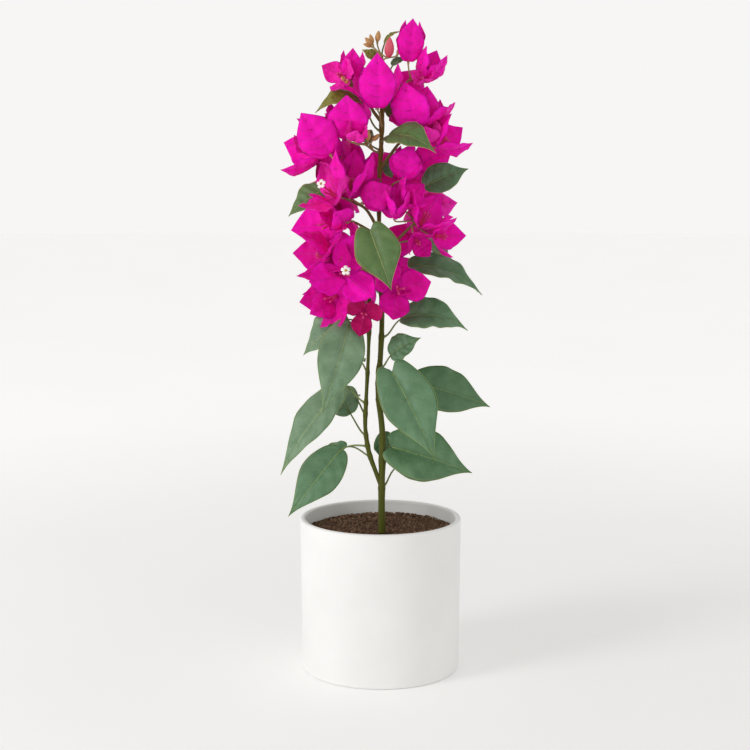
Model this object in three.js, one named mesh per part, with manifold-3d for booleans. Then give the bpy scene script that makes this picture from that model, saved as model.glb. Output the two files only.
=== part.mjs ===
// Bougainvillea in a round white pot: two stems, boughs, single leaves and flowering sprays.
// Units are millimetres, +Z is up, -Y is the front, and the origin is the middle of the pot's underside.
import * as THREE from "three";
import { mergeVertices } from "three/addons/utils/BufferGeometryUtils.js";
import Module from "manifold-3d";

const wasm = await Module();
wasm.setup();

// ---------------------------------------------------------------- driving sizes

const POT_DIAMETER = 140;
const POT_HEIGHT = 133.6;
const POT_WALL = 4.5;
const POT_FLOOR = 6;
const POT_FOOT_SETBACK = 1.2; // the wall leans in this much at the foot
const POT_RIM_ROUND = 2;
const POT_FOOT_ROUND = 2.5;
const SOIL_DEPTH_BELOW_RIM = 10.4;
const SOIL_TOP = POT_HEIGHT - SOIL_DEPTH_BELOW_RIM;
const JOINT_GAP = 0.3; // every piece stays this far from the piece that carries it

const SLIVER = 0.008; // joins and cuts leave no detail smaller than this

const STEM_SIDES = 8;
const BOUGH_SIDES = 6;
const TWIG_SIDES = 3;
const PETIOLE_SIDES = 3;
const PETIOLE_RADIUS = 0.75;
const PETIOLE_SUNK = 7; // how far a petiole runs on along its leaf's midrib
const TWIG_RADIUS = 0.75;
const STALK_SPREAD = 0.6; // share of a spray's stem, from its end, that carries the stalks
const KNOB_RADIUS = 2.1; // swelling where three bracts meet on their stalk

const BLADE_CELLS = 2; // cells across a blade
const GROWN_CELLS = 4; // the same on the larger copy that is cut away from its neighbours,
const GROWN_FLATNESS = 1.3; // which keeps its thickness nearly to its margins
const LEAF_OUTLINE = { widest: 0.38, rootRound: 0.9, tipDrawn: 0.75 };
const BRACT_OUTLINE = { widest: 0.45, rootRound: 0.85, tipDrawn: 0.15 };
const LEAF_THICKNESS = 1.3;
const BRACT_THICKNESS = 0.9;
const BRACT_SIZE = 37; // length of a usual bract
const BRACT_STATIONS = 4; // rings of faces along a bract
const SMALL_BRACT = 38; // a bract shorter than this has fewer of them
const SMALL_BRACT_STATIONS = 3;
const BRACT_WIDTH_SHARE = 0.82; // width over length
const BRACT_ROOT_SETOFF = 0.8; // a bract starts this far from the middle of its knob
const FLOWER_DIAMETER = 8;
const FLOWER_TUBE_LENGTH = 19;
const FLOWER_TUBE_RADIUS = 1.1;

const COLOURS = {
  pot: 0xf1f0ee,
  soil: 0x3a251a,
  stem: 0x565a1c,
  bough: 0x6d5a2c,
  leaf: 0x55734f,
  young_leaf: 0x6f7a35,
  spray: 0xe6009f,
  bud: 0xb08a4a,
};

// ---------------------------------------------------------------- small helpers

const vec = (p) => new THREE.Vector3(...p);
const rad = THREE.MathUtils.degToRad;

// One repeatable stream of numbers from 0 to 1 for each sub-part.
function seeded(seed) {
  let state = seed;
  return () => {
    state = (state * 1664525 + 1013904223) % 4294967296;
    return state / 4294967296;
  };
}

// Three unit vectors at right angles. axis points to "clock" in the front view (0 = right,
// 90 = up) and leans "front" degrees out of that view (90 = straight to the front, negative = back);
// away and round span the plane across it.
function aim(clock, front) {
  const level = new THREE.Vector3(Math.cos(rad(clock)), 0, Math.sin(rad(clock)));
  const back = new THREE.Vector3(0, 1, 0);
  const axis = level.clone().multiplyScalar(Math.cos(rad(front))).addScaledVector(back, -Math.sin(rad(front)));
  const away = level.clone().multiplyScalar(Math.sin(rad(front))).addScaledVector(back, Math.cos(rad(front)));
  const round = new THREE.Vector3(-Math.sin(rad(clock)), 0, Math.cos(rad(clock)));
  return { axis, away, round };
}

// A closed three.js geometry as a solid that can be joined and cut.
function toSolid(geometry) {
  const bare = geometry.clone();
  bare.deleteAttribute("normal");
  bare.deleteAttribute("uv");
  const merged = mergeVertices(bare, 1e-4);
  const vertProperties = new Float32Array(merged.attributes.position.array);
  const triVerts = new Uint32Array(merged.index.array);
  return new wasm.Manifold(new wasm.Mesh({ numProp: 3, vertProperties, triVerts }));
}

function toGeometry(solid) {
  const mesh = solid.getMesh();
  const geometry = new THREE.BufferGeometry();
  geometry.setAttribute("position", new THREE.BufferAttribute(new Float32Array(mesh.vertProperties), 3));
  geometry.setIndex(new THREE.BufferAttribute(new Uint32Array(mesh.triVerts), 1));
  geometry.computeVertexNormals();
  return geometry;
}

function fuse(solids) {
  return solids.reduce((whole, piece) => whole.add(piece));
}

// The biggest connected piece, so that scraps left by a cut are dropped, with its slivers smoothed out.
function biggestPiece(solid) {
  const pieces = solid.decompose();
  const best = pieces.reduce((biggest, piece) => (piece.volume() > biggest.volume() ? piece : biggest));
  return best.simplify(SLIVER);
}

// ---------------------------------------------------------------- limbs, blades and flowers

// A tapering limb along a curve: a cylinder whose rings are moved onto the curve.
function limb(curve, startRadius, endRadius, sides, steps, grow = 0) {
  const geometry = new THREE.CylinderGeometry(1, 1, 1, sides, steps);
  const frames = curve.computeFrenetFrames(steps);
  const position = geometry.attributes.position;
  const point = new THREE.Vector3();
  for (let i = 0; i < position.count; i++) {
    point.fromBufferAttribute(position, i);
    const share = 0.5 - point.y;
    const ring = Math.round(share * steps);
    const radius = THREE.MathUtils.lerp(startRadius, endRadius, share) + grow;
    const centre = curve.getPointAt(share);
    centre.addScaledVector(frames.normals[ring], point.x * radius);
    centre.addScaledVector(frames.binormals[ring], point.z * radius);
    position.setXYZ(i, centre.x, centre.y, centre.z);
  }
  return toSolid(geometry);
}

// Half width of a leaf or bract at a share of its length, as a share of its full width.
// Up to the widest station it is a mix of a quarter ellipse and a sine, and from there to the tip
// a mix of a cosine and a raised cosine, which draws the tip out.
function bladeHalfWidth(share, outline) {
  if (share < outline.widest) {
    const q = share / outline.widest;
    const round = Math.sqrt(1 - (1 - q) ** 2);
    return 0.5 * THREE.MathUtils.lerp(Math.sin((q * Math.PI) / 2), round, outline.rootRound);
  }
  const q = (share - outline.widest) / (1 - outline.widest);
  const plain = Math.cos((q * Math.PI) / 2);
  return 0.5 * THREE.MathUtils.lerp(plain, 0.5 + 0.5 * Math.cos(q * Math.PI), outline.tipDrawn);
}

// A thin lens-shaped blade from root to tip: a sphere with its poles at both ends, pressed flat.
// face: the upper side; arch: rise of the middle over its length; fold: rise of the margins over
// the half width; lobe: how far the round lobes beside the root reach back past it, over the length.
function blade(spec, grow = 0) {
  const along = spec.tip.clone().sub(spec.root);
  const length = along.length();
  along.normalize();
  const face = spec.face.clone().addScaledVector(along, -spec.face.dot(along)).normalize();
  const across = face.clone().cross(along);
  const cells = grow > 0 ? GROWN_CELLS : BLADE_CELLS;
  const geometry = new THREE.SphereGeometry(1, 2 * cells, spec.stations);
  const position = geometry.attributes.position;
  const point = new THREE.Vector3();
  for (let i = 0; i < position.count; i++) {
    point.fromBufferAttribute(position, i);
    const polar = Math.acos(THREE.MathUtils.clamp(point.y, -1, 1));
    const ring = Math.max(Math.sin(polar), 1e-9);
    const share = polar / Math.PI;
    const flatSide = ring > 1e-6 ? point.x / ring : 0;
    const side = grow > 0 ? THREE.MathUtils.clamp(flatSide * GROWN_FLATNESS, -1, 1) : flatSide;
    const skin = ring > 1e-6 ? point.z / ring : 0;
    const half = bladeHalfWidth(share, spec.outline) * spec.width;
    const wave = spec.wave * half * Math.sin(share * 9 + side * 2) * side * side;
    const lift = spec.arch * length * 4 * share * (1 - share) + spec.fold * half * Math.abs(side) + wave;
    const reachedOut = Math.min(1, (Math.abs(side) * half * 2) / spec.width);
    const reach = share * length - spec.lobe * length * Math.sin(Math.PI * reachedOut) * (1 - share) ** 2;
    const outward = skin * (spec.thickness / 2) * Math.sqrt(ring) + grow * skin;
    const placed = spec.root.clone();
    placed.addScaledVector(along, reach - grow * Math.cos(polar));
    placed.addScaledVector(across, side * (half + grow));
    placed.addScaledVector(face, lift + outward);
    position.setXYZ(i, placed.x, placed.y, placed.z);
  }
  return toSolid(geometry);
}

// Three bracts in a whorl round an axis, their knob, and an open white flower where there is one.
function bloom(spec, grow = 0) {
  const heart = vec(spec.at);
  const { axis, away, round } = aim(spec.clock, spec.front);
  const size = spec.size ?? BRACT_SIZE;
  const pieces = [];
  for (let k = 0; k < 3; k++) {
    const turn = rad((spec.spin ?? 180) + 120 * k);
    const out = away.clone().multiplyScalar(Math.cos(turn)).addScaledVector(round, Math.sin(turn));
    const along = axis.clone().multiplyScalar(Math.cos(rad(spec.open)));
    along.addScaledVector(out, Math.sin(rad(spec.open)));
    pieces.push(
      blade({
        root: heart.clone().addScaledVector(along, BRACT_ROOT_SETOFF),
        tip: heart.clone().addScaledVector(along, size),
        face: axis.clone().addScaledVector(out, -1),
        width: size * (spec.width ?? BRACT_WIDTH_SHARE),
        thickness: BRACT_THICKNESS,
        stations: size < SMALL_BRACT ? SMALL_BRACT_STATIONS : BRACT_STATIONS,
        outline: BRACT_OUTLINE,
        arch: -0.1,
        fold: -0.12,
        lobe: 0.05,
        wave: 0,
      }, grow),
    );
  }
  const knob = new THREE.OctahedronGeometry(KNOB_RADIUS + grow);
  knob.translate(heart.x, heart.y, heart.z);
  pieces.push(toSolid(knob));
  if (spec.flower) {
    pieces.push(...openFlower(heart, axis, grow));
  }
  return pieces;
}

// A slim tube along the bloom's axis with a flat five-sided flower at its end.
function openFlower(heart, axis, grow) {
  const end = heart.clone().addScaledVector(axis, FLOWER_TUBE_LENGTH);
  const tube = limb(new THREE.LineCurve3(heart, end), FLOWER_TUBE_RADIUS, FLOWER_TUBE_RADIUS, 4, 1, grow);
  const disc = new THREE.CylinderGeometry(FLOWER_DIAMETER / 2 + grow, 1.5 + grow, 1.6 + grow, 10);
  disc.applyQuaternion(new THREE.Quaternion().setFromUnitVectors(new THREE.Vector3(0, 1, 0), axis));
  disc.translate(end.x, end.y, end.z);
  return [tube, toSolid(disc)];
}

// A closed bud: a slim spindle on its stalk.
function bud(spec, grow = 0) {
  const { axis } = aim(spec.clock, spec.front);
  const middle = vec(spec.at).addScaledVector(axis, spec.size / 2);
  const spindle = new THREE.SphereGeometry(1, 4, 3);
  spindle.scale(spec.size * 0.2 + grow, spec.size * 0.56 + grow, spec.size * 0.2 + grow);
  spindle.applyQuaternion(new THREE.Quaternion().setFromUnitVectors(new THREE.Vector3(0, 1, 0), axis));
  spindle.translate(middle.x, middle.y, middle.z);
  return [toSolid(spindle)];
}

// ---------------------------------------------------------------- pot and soil

function potSolid() {
  const rim = POT_DIAMETER / 2;
  const foot = rim - POT_FOOT_SETBACK;
  const inside = rim - POT_WALL;
  const profile = new THREE.Path();
  profile.moveTo(0, 0);
  profile.lineTo(foot - POT_FOOT_ROUND, 0);
  profile.quadraticCurveTo(foot, 0, foot, POT_FOOT_ROUND);
  profile.lineTo(rim, POT_HEIGHT - POT_RIM_ROUND);
  profile.quadraticCurveTo(rim, POT_HEIGHT, rim - POT_WALL / 2, POT_HEIGHT);
  profile.quadraticCurveTo(inside, POT_HEIGHT, inside, POT_HEIGHT - POT_RIM_ROUND);
  profile.lineTo(inside - POT_FOOT_SETBACK, POT_FLOOR);
  profile.lineTo(0, POT_FLOOR);
  const geometry = new THREE.LatheGeometry(profile.getPoints(2), 40);
  geometry.rotateX(Math.PI / 2);
  return toSolid(geometry);
}

function soilSolid() {
  const top = POT_DIAMETER / 2 - POT_WALL - POT_FOOT_SETBACK * (SOIL_DEPTH_BELOW_RIM / POT_HEIGHT);
  const bottom = POT_DIAMETER / 2 - POT_WALL - POT_FOOT_SETBACK;
  const height = SOIL_TOP - POT_FLOOR - JOINT_GAP;
  const geometry = new THREE.CylinderGeometry(top - JOINT_GAP - 0.1, bottom - JOINT_GAP - 0.1, height, 32);
  geometry.rotateX(Math.PI / 2);
  geometry.translate(0, 0, POT_FLOOR + JOINT_GAP + height / 2);
  return toSolid(geometry);
}

// ---------------------------------------------------------------- stems and boughs

// Stations that a stem or bough passes through, from its root to its tip.
const MAIN_STEM_PATH = [
  [1, -20, SOIL_TOP + JOINT_GAP], [0.8, -18, 162], [1.3, -13, 210], [-1.8, -9, 245],
  [0, -7, 280], [1, -5, 306], [-0.6, -3, 357], [-1.5, -2, 404], [-0.8, 0, 434],
  [0.8, 0, 467], [0.6, 0, 500], [1.6, 0, 520],
];
const SIDE_STEM_PATH = [
  [-4.4, -17, 177], [-10, -15.5, 193], [-13.2, -14, 214], [-12.6, -13, 236],
  [-10.4, -12, 280], [-9.6, -12, 320], [-10.4, -13, 344],
];
const SIDE_STEM_FORK = 163; // height at which the second stem leaves the first
const BOUGHS = [
  { name: "bough_left_upper", on: "main_stem", at: 380, path: [[-8, -8, 394], [-14, -13, 402], [-24, -16, 407]] },
  { name: "bough_left_middle", on: "main_stem", at: 370, path: [[-8, -9, 381], [-15, -13, 386], [-22, -15, 390]] },
  { name: "bough_right_upper", on: "main_stem", at: 434, path: [[8, -3, 446], [16, -6, 456], [26, -8, 461]] },
  { name: "bough_right_lower", on: "main_stem", at: 360, path: [[9, -8, 370], [17, -12, 378], [25, -14, 386]] },
  { name: "bough_top_left", on: "main_stem", at: 473, path: [[-6, -2, 482], [-11, -4, 490], [-18, -5, 498]] },
  { name: "bough_top_right", on: "main_stem", at: 480, path: [[7, -2, 491], [13, -3, 500], [21, -4, 506]] },
];

const limbs = new Map();

function addLimb(name, path, startRadius, endRadius, sides, steps) {
  const curve = new THREE.CatmullRomCurve3(path.map(vec));
  const radiusAt = (share) => THREE.MathUtils.lerp(startRadius, endRadius, share);
  limbs.set(name, { curve, radiusAt, build: (grow) => limb(curve, startRadius, endRadius, sides, steps, grow) });
}

// Share of a limb's length at which it reaches a height.
function shareAtHeight(curve, height) {
  let low = 0;
  let high = 1;
  for (let i = 0; i < 24; i++) {
    const middle = (low + high) / 2;
    if (curve.getPointAt(middle).z < height) low = middle;
    else high = middle;
  }
  return (low + high) / 2;
}

// Where a twig leaves a limb: just clear of its skin, on the side that faces the twig's goal.
// A twig at "tip" goes on from the limb's end.
function sprout(limbName, height, goal) {
  const carrier = limbs.get(limbName);
  if (height === "tip") {
    const heading = carrier.curve.getTangentAt(1);
    return { start: carrier.curve.getPointAt(1).addScaledVector(heading, JOINT_GAP), heading };
  }
  const share = shareAtHeight(carrier.curve, height);
  const centre = carrier.curve.getPointAt(share);
  const tangent = carrier.curve.getTangentAt(share);
  const heading = goal.clone().sub(centre);
  heading.addScaledVector(tangent, -heading.dot(tangent)).normalize();
  const start = centre.clone().addScaledVector(heading, carrier.radiusAt(share) + JOINT_GAP);
  return { start, heading };
}

// A limb that forks from another starts on that one's axis, and assembly cuts it clear.
function forkPoint(limbName, height) {
  const { curve } = limbs.get(limbName);
  return curve.getPointAt(shareAtHeight(curve, height)).toArray();
}

addLimb("main_stem", MAIN_STEM_PATH, 3, 1.1, STEM_SIDES, 18);
addLimb("side_stem", [forkPoint("main_stem", SIDE_STEM_FORK), ...SIDE_STEM_PATH], 1.9, 1.2, STEM_SIDES, 12);
for (const row of BOUGHS) {
  addLimb(row.name, [forkPoint(row.on, row.at), ...row.path], 1.6, 1.0, BOUGH_SIDES, 6);
}

// ---------------------------------------------------------------- leaves

// base and tip: both ends of the blade; face: the way its upper side looks.
const LEAVES = [
  { name: "leaf_front_left", on: "side_stem", at: 300, base: [-26, -24, 307], tip: [-49, -48, 232],
    width: 39, face: [0.2, -1, 0.3], arch: 0.06 },
  { name: "leaf_left_behind", on: "side_stem", at: 296, base: [-28, 4, 307], tip: [-68, 12, 274],
    width: 34, face: [-0.3, -0.8, 0.6], arch: 0.06 },
  { name: "leaf_left_long", on: "side_stem", at: 236, base: [-32, -4, 250], tip: [-87, -18, 174],
    width: 31, face: [-0.35, -0.85, 0.4], arch: 0.08 },
  { name: "leaf_left_small", on: "side_stem", at: 208, base: [-26, 6, 223], tip: [-48, 20, 252],
    width: 30, face: [0.1, -0.8, 0.5], arch: 0.05 },
  { name: "leaf_low_left", on: "side_stem", at: 199, base: [-34, -14, 196], tip: [-79, -34, 141],
    width: 35, face: [0.15, -0.85, 0.45], arch: 0.06 },
  { name: "leaf_low_left_behind", on: "side_stem", at: 190, base: [-30, 16, 192], tip: [-66, 44, 158],
    width: 28, face: [-0.2, -0.4, 0.8], arch: 0.08 },
  { name: "leaf_front_right", on: "main_stem", at: 262, base: [9.5, -28, 265], tip: [46, -52, 194],
    width: 47, face: [0.1, -0.95, 0.3], arch: 0.05, lobe: 0.14 },
  { name: "leaf_right_long", on: "main_stem", at: 252, base: [25, 4, 251], tip: [97.5, 22, 227],
    width: 42, face: [0, -0.9, 0.5], arch: 0.06 },
  { name: "leaf_low_right", on: "main_stem", at: 186, base: [9, -16, 198], tip: [79, -18, 176],
    width: 48, face: [0.1, -0.9, 0.4], arch: 0.04, lobe: 0.12 },
  { name: "leaf_low_right_behind", on: "main_stem", at: 163, base: [15, 8, 177], tip: [60, 40, 166],
    width: 34, face: [0.1, -0.5, 0.8], arch: 0.08 },
  { name: "leaf_low_middle", on: "main_stem", at: 205, base: [4, 6, 208], tip: [3, 26, 176],
    width: 19, face: [0, -0.9, -0.3], arch: 0.05 },
  { name: "leaf_wavy", on: "main_stem", at: 266, base: [8, -15, 277], tip: [34, -20, 293],
    width: 26, face: [-0.3, -0.8, 0.55], arch: 0.08, wave: 0.12 },
  { name: "leaf_right_upper", on: "main_stem", at: 292, base: [16.5, -8, 307.5], tip: [75, -6, 298],
    width: 41, face: [0, -0.58, 0.8], arch: 0.16 },
  { name: "leaf_right_high", on: "main_stem", at: 345, base: [23, 4, 353], tip: [88.5, 12, 327],
    width: 37, face: [0, -0.5, 0.87], arch: 0.12 },
  { name: "leaf_right_flowers", on: "main_stem", at: 412, base: [37, 10, 419], tip: [76, 22, 435],
    width: 28, face: [0.1, -0.85, 0.5], arch: 0.06 },
  { name: "leaf_top_right", on: "main_stem", at: 457, base: [6, -16, 461], tip: [45, -42, 448],
    width: 32, face: [0, -0.7, 0.7], arch: 0.16, young: true },
  { name: "leaf_heart_front", on: "main_stem", at: 366, base: [-9, -46, 384], tip: [8.5, -58, 336],
    width: 38, face: [0, -0.97, 0.2], arch: 0.05, lobe: 0.16, young: true },
  { name: "leaf_left_flowers", on: "main_stem", at: 405, base: [-46, 8, 418], tip: [-80, 14, 394],
    width: 27, face: [-0.3, -0.75, 0.6], arch: 0.06, young: true },
  { name: "leaf_left_middle", on: "main_stem", at: 338, base: [-42, 16, 345], tip: [-62, 26, 319],
    width: 24, face: [-0.3, -0.8, 0.4], arch: 0.06 },
  { name: "leaf_top_left", on: "main_stem", at: 466, base: [-18, -4, 491], tip: [-55, -14, 481],
    width: 22, face: [0, -0.6, 0.8], arch: 0.2, young: true },
  { name: "leaf_top_small", on: "main_stem", at: 488, base: [5, 6, 495], tip: [15, 13, 470],
    width: 15, face: [0.2, -0.9, 0.2], arch: 0.05, young: true },
  { name: "leaf_tip_narrow", on: "main_stem", at: 512, base: [3, 3, 539], tip: [15.5, 5, 549],
    width: 5, face: [-0.3, -0.6, 0.8], arch: 0.15, young: true },
  { name: "leaf_tip_left", on: "main_stem", at: 506, base: [-4, 4, 526], tip: [-16, 6, 534],
    width: 10, face: [0.2, -0.9, 0.5], arch: 0.1, young: true },
  { name: "leaf_tip_right", on: "main_stem", at: 500, base: [9, 6, 521], tip: [22, 8, 527],
    width: 9, face: [-0.2, -0.7, 0.7], arch: 0.1 },
  { name: "leaf_middle_small", on: "main_stem", at: 436, base: [4, 7, 441], tip: [10, 16, 426],
    width: 13, face: [0.2, -0.9, 0.3], arch: 0.05 },
  { name: "leaf_back_low_right", on: "main_stem", at: 190, base: [12, 14, 198], tip: [30, 68, 162],
    width: 44, face: [0.1, 0.5, 0.85], arch: 0.07 },
  { name: "leaf_back_low_left", on: "side_stem", at: 226, base: [-24, 18, 236], tip: [-58, 66, 212],
    width: 35, face: [-0.2, 0.5, 0.85], arch: 0.07 },
  { name: "leaf_back_right", on: "main_stem", at: 238, base: [14, 18, 246], tip: [42, 68, 214],
    width: 42, face: [0.2, 0.5, 0.85], arch: 0.07 },
  { name: "leaf_back_left", on: "side_stem", at: 262, base: [-20, 18, 268], tip: [-50, 62, 238],
    width: 38, face: [-0.3, 0.5, 0.85], arch: 0.07 },
  { name: "leaf_back_middle", on: "main_stem", at: 318, base: [2, 18, 332], tip: [8, 77, 312],
    width: 40, face: [0.1, 0.5, 0.85], arch: 0.08 },
  { name: "leaf_back_upper", on: "main_stem", at: 366, base: [28, 16, 372], tip: [62, 46, 352],
    width: 34, face: [0.3, 0.5, 0.85], arch: 0.08 },
  { name: "leaf_back_high", on: "main_stem", at: 450, base: [-12, 12, 456], tip: [-34, 44, 470],
    width: 28, face: [-0.3, 0.5, 0.85], arch: 0.08, young: true },
];

function leafSolid(row, grow = 0) {
  const root = vec(row.base);
  const tip = vec(row.tip);
  const length = tip.distanceTo(root);
  const along = tip.clone().sub(root).normalize();
  const face = vec(row.face).addScaledVector(along, -vec(row.face).dot(along)).normalize();
  const { start, heading } = sprout(row.on, row.at, root);
  const distance = start.distanceTo(root);
  const share = PETIOLE_SUNK / length;
  const rise = row.arch * length * 4 * share * (1 - share);
  const path = new THREE.CubicBezierCurve3(
    start,
    start.clone().addScaledVector(heading, distance * 0.35).add(new THREE.Vector3(0, 0, distance * 0.1)),
    root.clone().addScaledVector(along, -distance * 0.3),
    root.clone().addScaledVector(along, PETIOLE_SUNK).addScaledVector(face, rise),
  );
  const petiole = limb(path, PETIOLE_RADIUS * 1.1, PETIOLE_RADIUS * 0.8, PETIOLE_SIDES, 4, grow);
  const surface = blade({
    root, tip, face, width: row.width, thickness: LEAF_THICKNESS, stations: 6,
    outline: LEAF_OUTLINE, arch: row.arch, fold: 0.18, lobe: row.lobe ?? 0.03, wave: row.wave ?? 0.05,
  }, grow);
  return petiole.add(surface);
}

// ---------------------------------------------------------------- flowering sprays

// on, at: where the spray's stem starts; hub: where it ends and its stalks fan out.
const SPRAYS = [
  { name: "spray_tip", on: "main_stem", at: "tip", hub: [1, -1, 529],
    blooms: [],
    buds: [
      { at: [6.5, -3, 527], clock: 86, front: 10, size: 16 },
      { at: [-8, -2, 536], clock: 165, front: 15, size: 7 },
      { at: [-8, -4, 537], clock: 132, front: 20, size: 8 },
      { at: [-7, -1, 538], clock: 104, front: 0, size: 8 },
      { at: [-3, 1, 540], clock: 82, front: -5, size: 9 },
      { at: [14, -3, 529], clock: 76, front: 10, size: 6 },
    ] },
  { name: "spray_top_right", on: "bough_top_right", at: "tip", hub: [25, -4, 509],
    blooms: [
      { at: [23, -3, 523], clock: 84, front: -6, open: 9, size: 36, width: 0.64 },
      { at: [36, -4, 508], clock: 66, front: 5, open: 20, spin: 0, size: 29, width: 0.8 },
      { at: [36, -9, 506], clock: 110, front: 50, open: 30, size: 16, width: 0.95 },
    ],
    buds: [] },
  { name: "spray_top_left", on: "bough_top_left", at: "tip", hub: [-22, -6, 501],
    blooms: [
      { at: [-31, -10, 510], clock: 152, front: 50, open: 50, spin: 0, size: 21, width: 0.9 },
      { at: [-25, -5, 508], clock: 86, front: -6, open: 18, size: 27, width: 0.66 },
    ],
    buds: [
      { at: [-30, -16, 507], clock: 130, front: 60, size: 7 },
      { at: [-29, -15, 505], clock: 60, front: 60, size: 6 },
    ] },
  { name: "spray_front_top", on: "main_stem", at: 470, hub: [-1, -16, 480],
    blooms: [{ at: [-3, -21, 484], clock: 90, front: -12, open: 24, size: 46, width: 0.68 }],
    buds: [] },
  { name: "spray_left_high", on: "main_stem", at: 448, hub: [-13, -16, 455],
    blooms: [
      { at: [-27, -24, 459], clock: 92, front: -10, open: 24, size: 37, width: 0.94 },
      { at: [-22, -30, 457], clock: 74, front: 34, open: 24, size: 18, width: 0.9 },
    ],
    buds: [
      { at: [-14, -17, 460], clock: 115, front: 20, size: 9 },
      { at: [-11, -19, 458], clock: 85, front: 25, size: 9 },
      { at: [-7, -17, 458], clock: 40, front: 10, size: 8 },
    ] },
  { name: "spray_left_upper", on: "bough_left_upper", at: "tip", hub: [-28, -17, 409],
    blooms: [
      { at: [-26, -22, 410], clock: 84, front: 6, open: 22, spin: 0, size: 44, width: 0.62 },
      { at: [-38, -8, 416], clock: 98, front: -8, open: 18, size: 36, width: 0.7 },
      { at: [-50, -8, 446], clock: 162, front: 10, open: 38, spin: 0, size: 40 },
      { at: [-42, -27, 446], clock: 125, front: -22, open: 24, size: 42, width: 0.84 },
      { at: [-37, -26, 411], clock: 138, front: 30, open: 48, spin: -30, size: 34, flower: true },
      { at: [-15, -29, 406], clock: 30, front: -16, open: 22, size: 28, width: 0.98 },
    ],
    buds: [] },
  { name: "spray_left_middle", on: "bough_left_middle", at: "tip", hub: [-26, -16, 391],
    blooms: [
      { at: [-37, -18, 391], clock: 192, front: 30, open: 45, spin: 0, size: 42 },
      { at: [-29, -27, 390], clock: 135, front: 30, open: 25, size: 25, width: 0.95 },
    ],
    buds: [] },
  { name: "spray_left_low", on: "side_stem", at: "tip", hub: [-18, -16, 352],
    blooms: [
      { at: [-40, -16, 362], clock: 178, front: 10, open: 30, spin: 0, size: 38 },
      { at: [-30, -34, 347], clock: 77, front: 75, open: 60, spin: 0, size: 36, flower: true },
      { at: [-29, -26, 357], clock: 150, front: 40, open: 40, spin: 0, size: 22 },
    ],
    buds: [] },
  { name: "spray_low_left", on: "side_stem", at: 322, hub: [-26, -16, 325],
    blooms: [
      { at: [-37, -18, 328], clock: 190, front: 50, open: 55, spin: 0, size: 33 },
      { at: [-38, -9, 325], clock: 208, front: 0, open: 35, size: 31 },
    ],
    buds: [] },
  { name: "spray_low_front", on: "side_stem", at: 308, hub: [-12, -24, 313],
    blooms: [{ at: [-14, -32, 315], clock: 258, front: 80, open: 50, spin: 0, size: 22 }],
    buds: [] },
  { name: "spray_right_upper", on: "bough_right_upper", at: "tip", hub: [31, -9, 463],
    blooms: [
      { at: [31, -14, 468], clock: 85, front: -28, open: 45, spin: 150, size: 41, width: 0.88 },
      { at: [46, -6, 452], clock: 36, front: 5, open: 30, spin: 0, size: 33 },
      { at: [40, -12, 456], clock: 104, front: 25, open: 26, size: 23, width: 0.95 },
      { at: [33, -4, 470], clock: 80, front: -20, open: 25, size: 34 },
    ],
    buds: [] },
  { name: "spray_right_middle", on: "main_stem", at: 416, hub: [10, -16, 421],
    blooms: [{ at: [18, -17, 426], clock: 78, front: -8, open: 14, size: 29, width: 0.98 }],
    buds: [] },
  { name: "spray_right_low", on: "bough_right_lower", at: "tip", hub: [29, -15, 390],
    blooms: [
      { at: [11, -26, 393], clock: 86, front: 12, open: 21, spin: 8, size: 28, width: 0.88 },
      { at: [19, -15, 404], clock: 45, front: 15, open: 38, spin: 0, size: 28 },
      { at: [32, -12, 386], clock: 56, front: 12, open: 40, spin: 0, size: 37 },
      { at: [45, -11, 378], clock: 0, front: 25, open: 40, spin: 0, size: 29 },
      { at: [29, -25, 376], clock: 310, front: 50, open: 40, spin: 0, size: 19, width: 0.95 },
    ],
    buds: [] },
  { name: "spray_low_right", on: "main_stem", at: 335, hub: [12, -26, 337],
    blooms: [
      { at: [14, -33, 335], clock: 14, front: 80, open: 55, spin: 0, size: 31, width: 0.9 },
      { at: [10, -24, 338], clock: 60, front: 50, open: 50, spin: 0, size: 23 },
    ],
    buds: [] },
  { name: "spray_back_top", on: "main_stem", at: 478, hub: [0, 18, 488],
    blooms: [
      { at: [-13, 26, 496], clock: 130, front: -50, open: 46 },
      { at: [14, 27, 489], clock: 40, front: -45, open: 48, spin: 160 },
    ],
    buds: [] },
  { name: "spray_back_left", on: "main_stem", at: 420, hub: [-16, 22, 430],
    blooms: [
      { at: [-34, 24, 444], clock: 150, front: -40, open: 44 },
      { at: [-18, 40, 430], clock: 100, front: -70, open: 52, spin: 150 },
      { at: [-30, 34, 408], clock: 200, front: -45, open: 46, spin: 0 },
    ],
    buds: [] },
  { name: "spray_back_right", on: "main_stem", at: 404, hub: [16, 24, 414],
    blooms: [
      { at: [30, 26, 436], clock: 30, front: -40, open: 44 },
      { at: [18, 44, 418], clock: 80, front: -75, open: 55, spin: 20, flower: true },
      { at: [32, 34, 398], clock: 330, front: -45, open: 46, spin: 0 },
    ],
    buds: [] },
  { name: "spray_back_low", on: "main_stem", at: 350, hub: [-6, 24, 358],
    blooms: [
      { at: [-22, 34, 364], clock: 170, front: -50, open: 46, size: 35 },
      { at: [8, 38, 358], clock: 60, front: -70, open: 52, size: 35 },
      { at: [-12, 32, 338], clock: 250, front: -45, open: 46, size: 33 },
    ],
    buds: [] },
];

// A stalk from the spray's stem to a bloom or bud, bent a little to one side by the spray's seed.
function stalk(foot, goal, arrival, random, radius, grow) {
  const distance = foot.distanceTo(goal);
  const bend = new THREE.Vector3(random() - 0.5, random() - 0.5, random() - 0.2).multiplyScalar(distance * 0.3);
  const path = new THREE.CubicBezierCurve3(
    foot,
    foot.clone().lerp(goal, 0.3).add(bend),
    goal.clone().addScaledVector(arrival, -distance * 0.25),
    goal,
  );
  return limb(path, radius, radius * 0.85, TWIG_SIDES, 2, grow);
}

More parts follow.
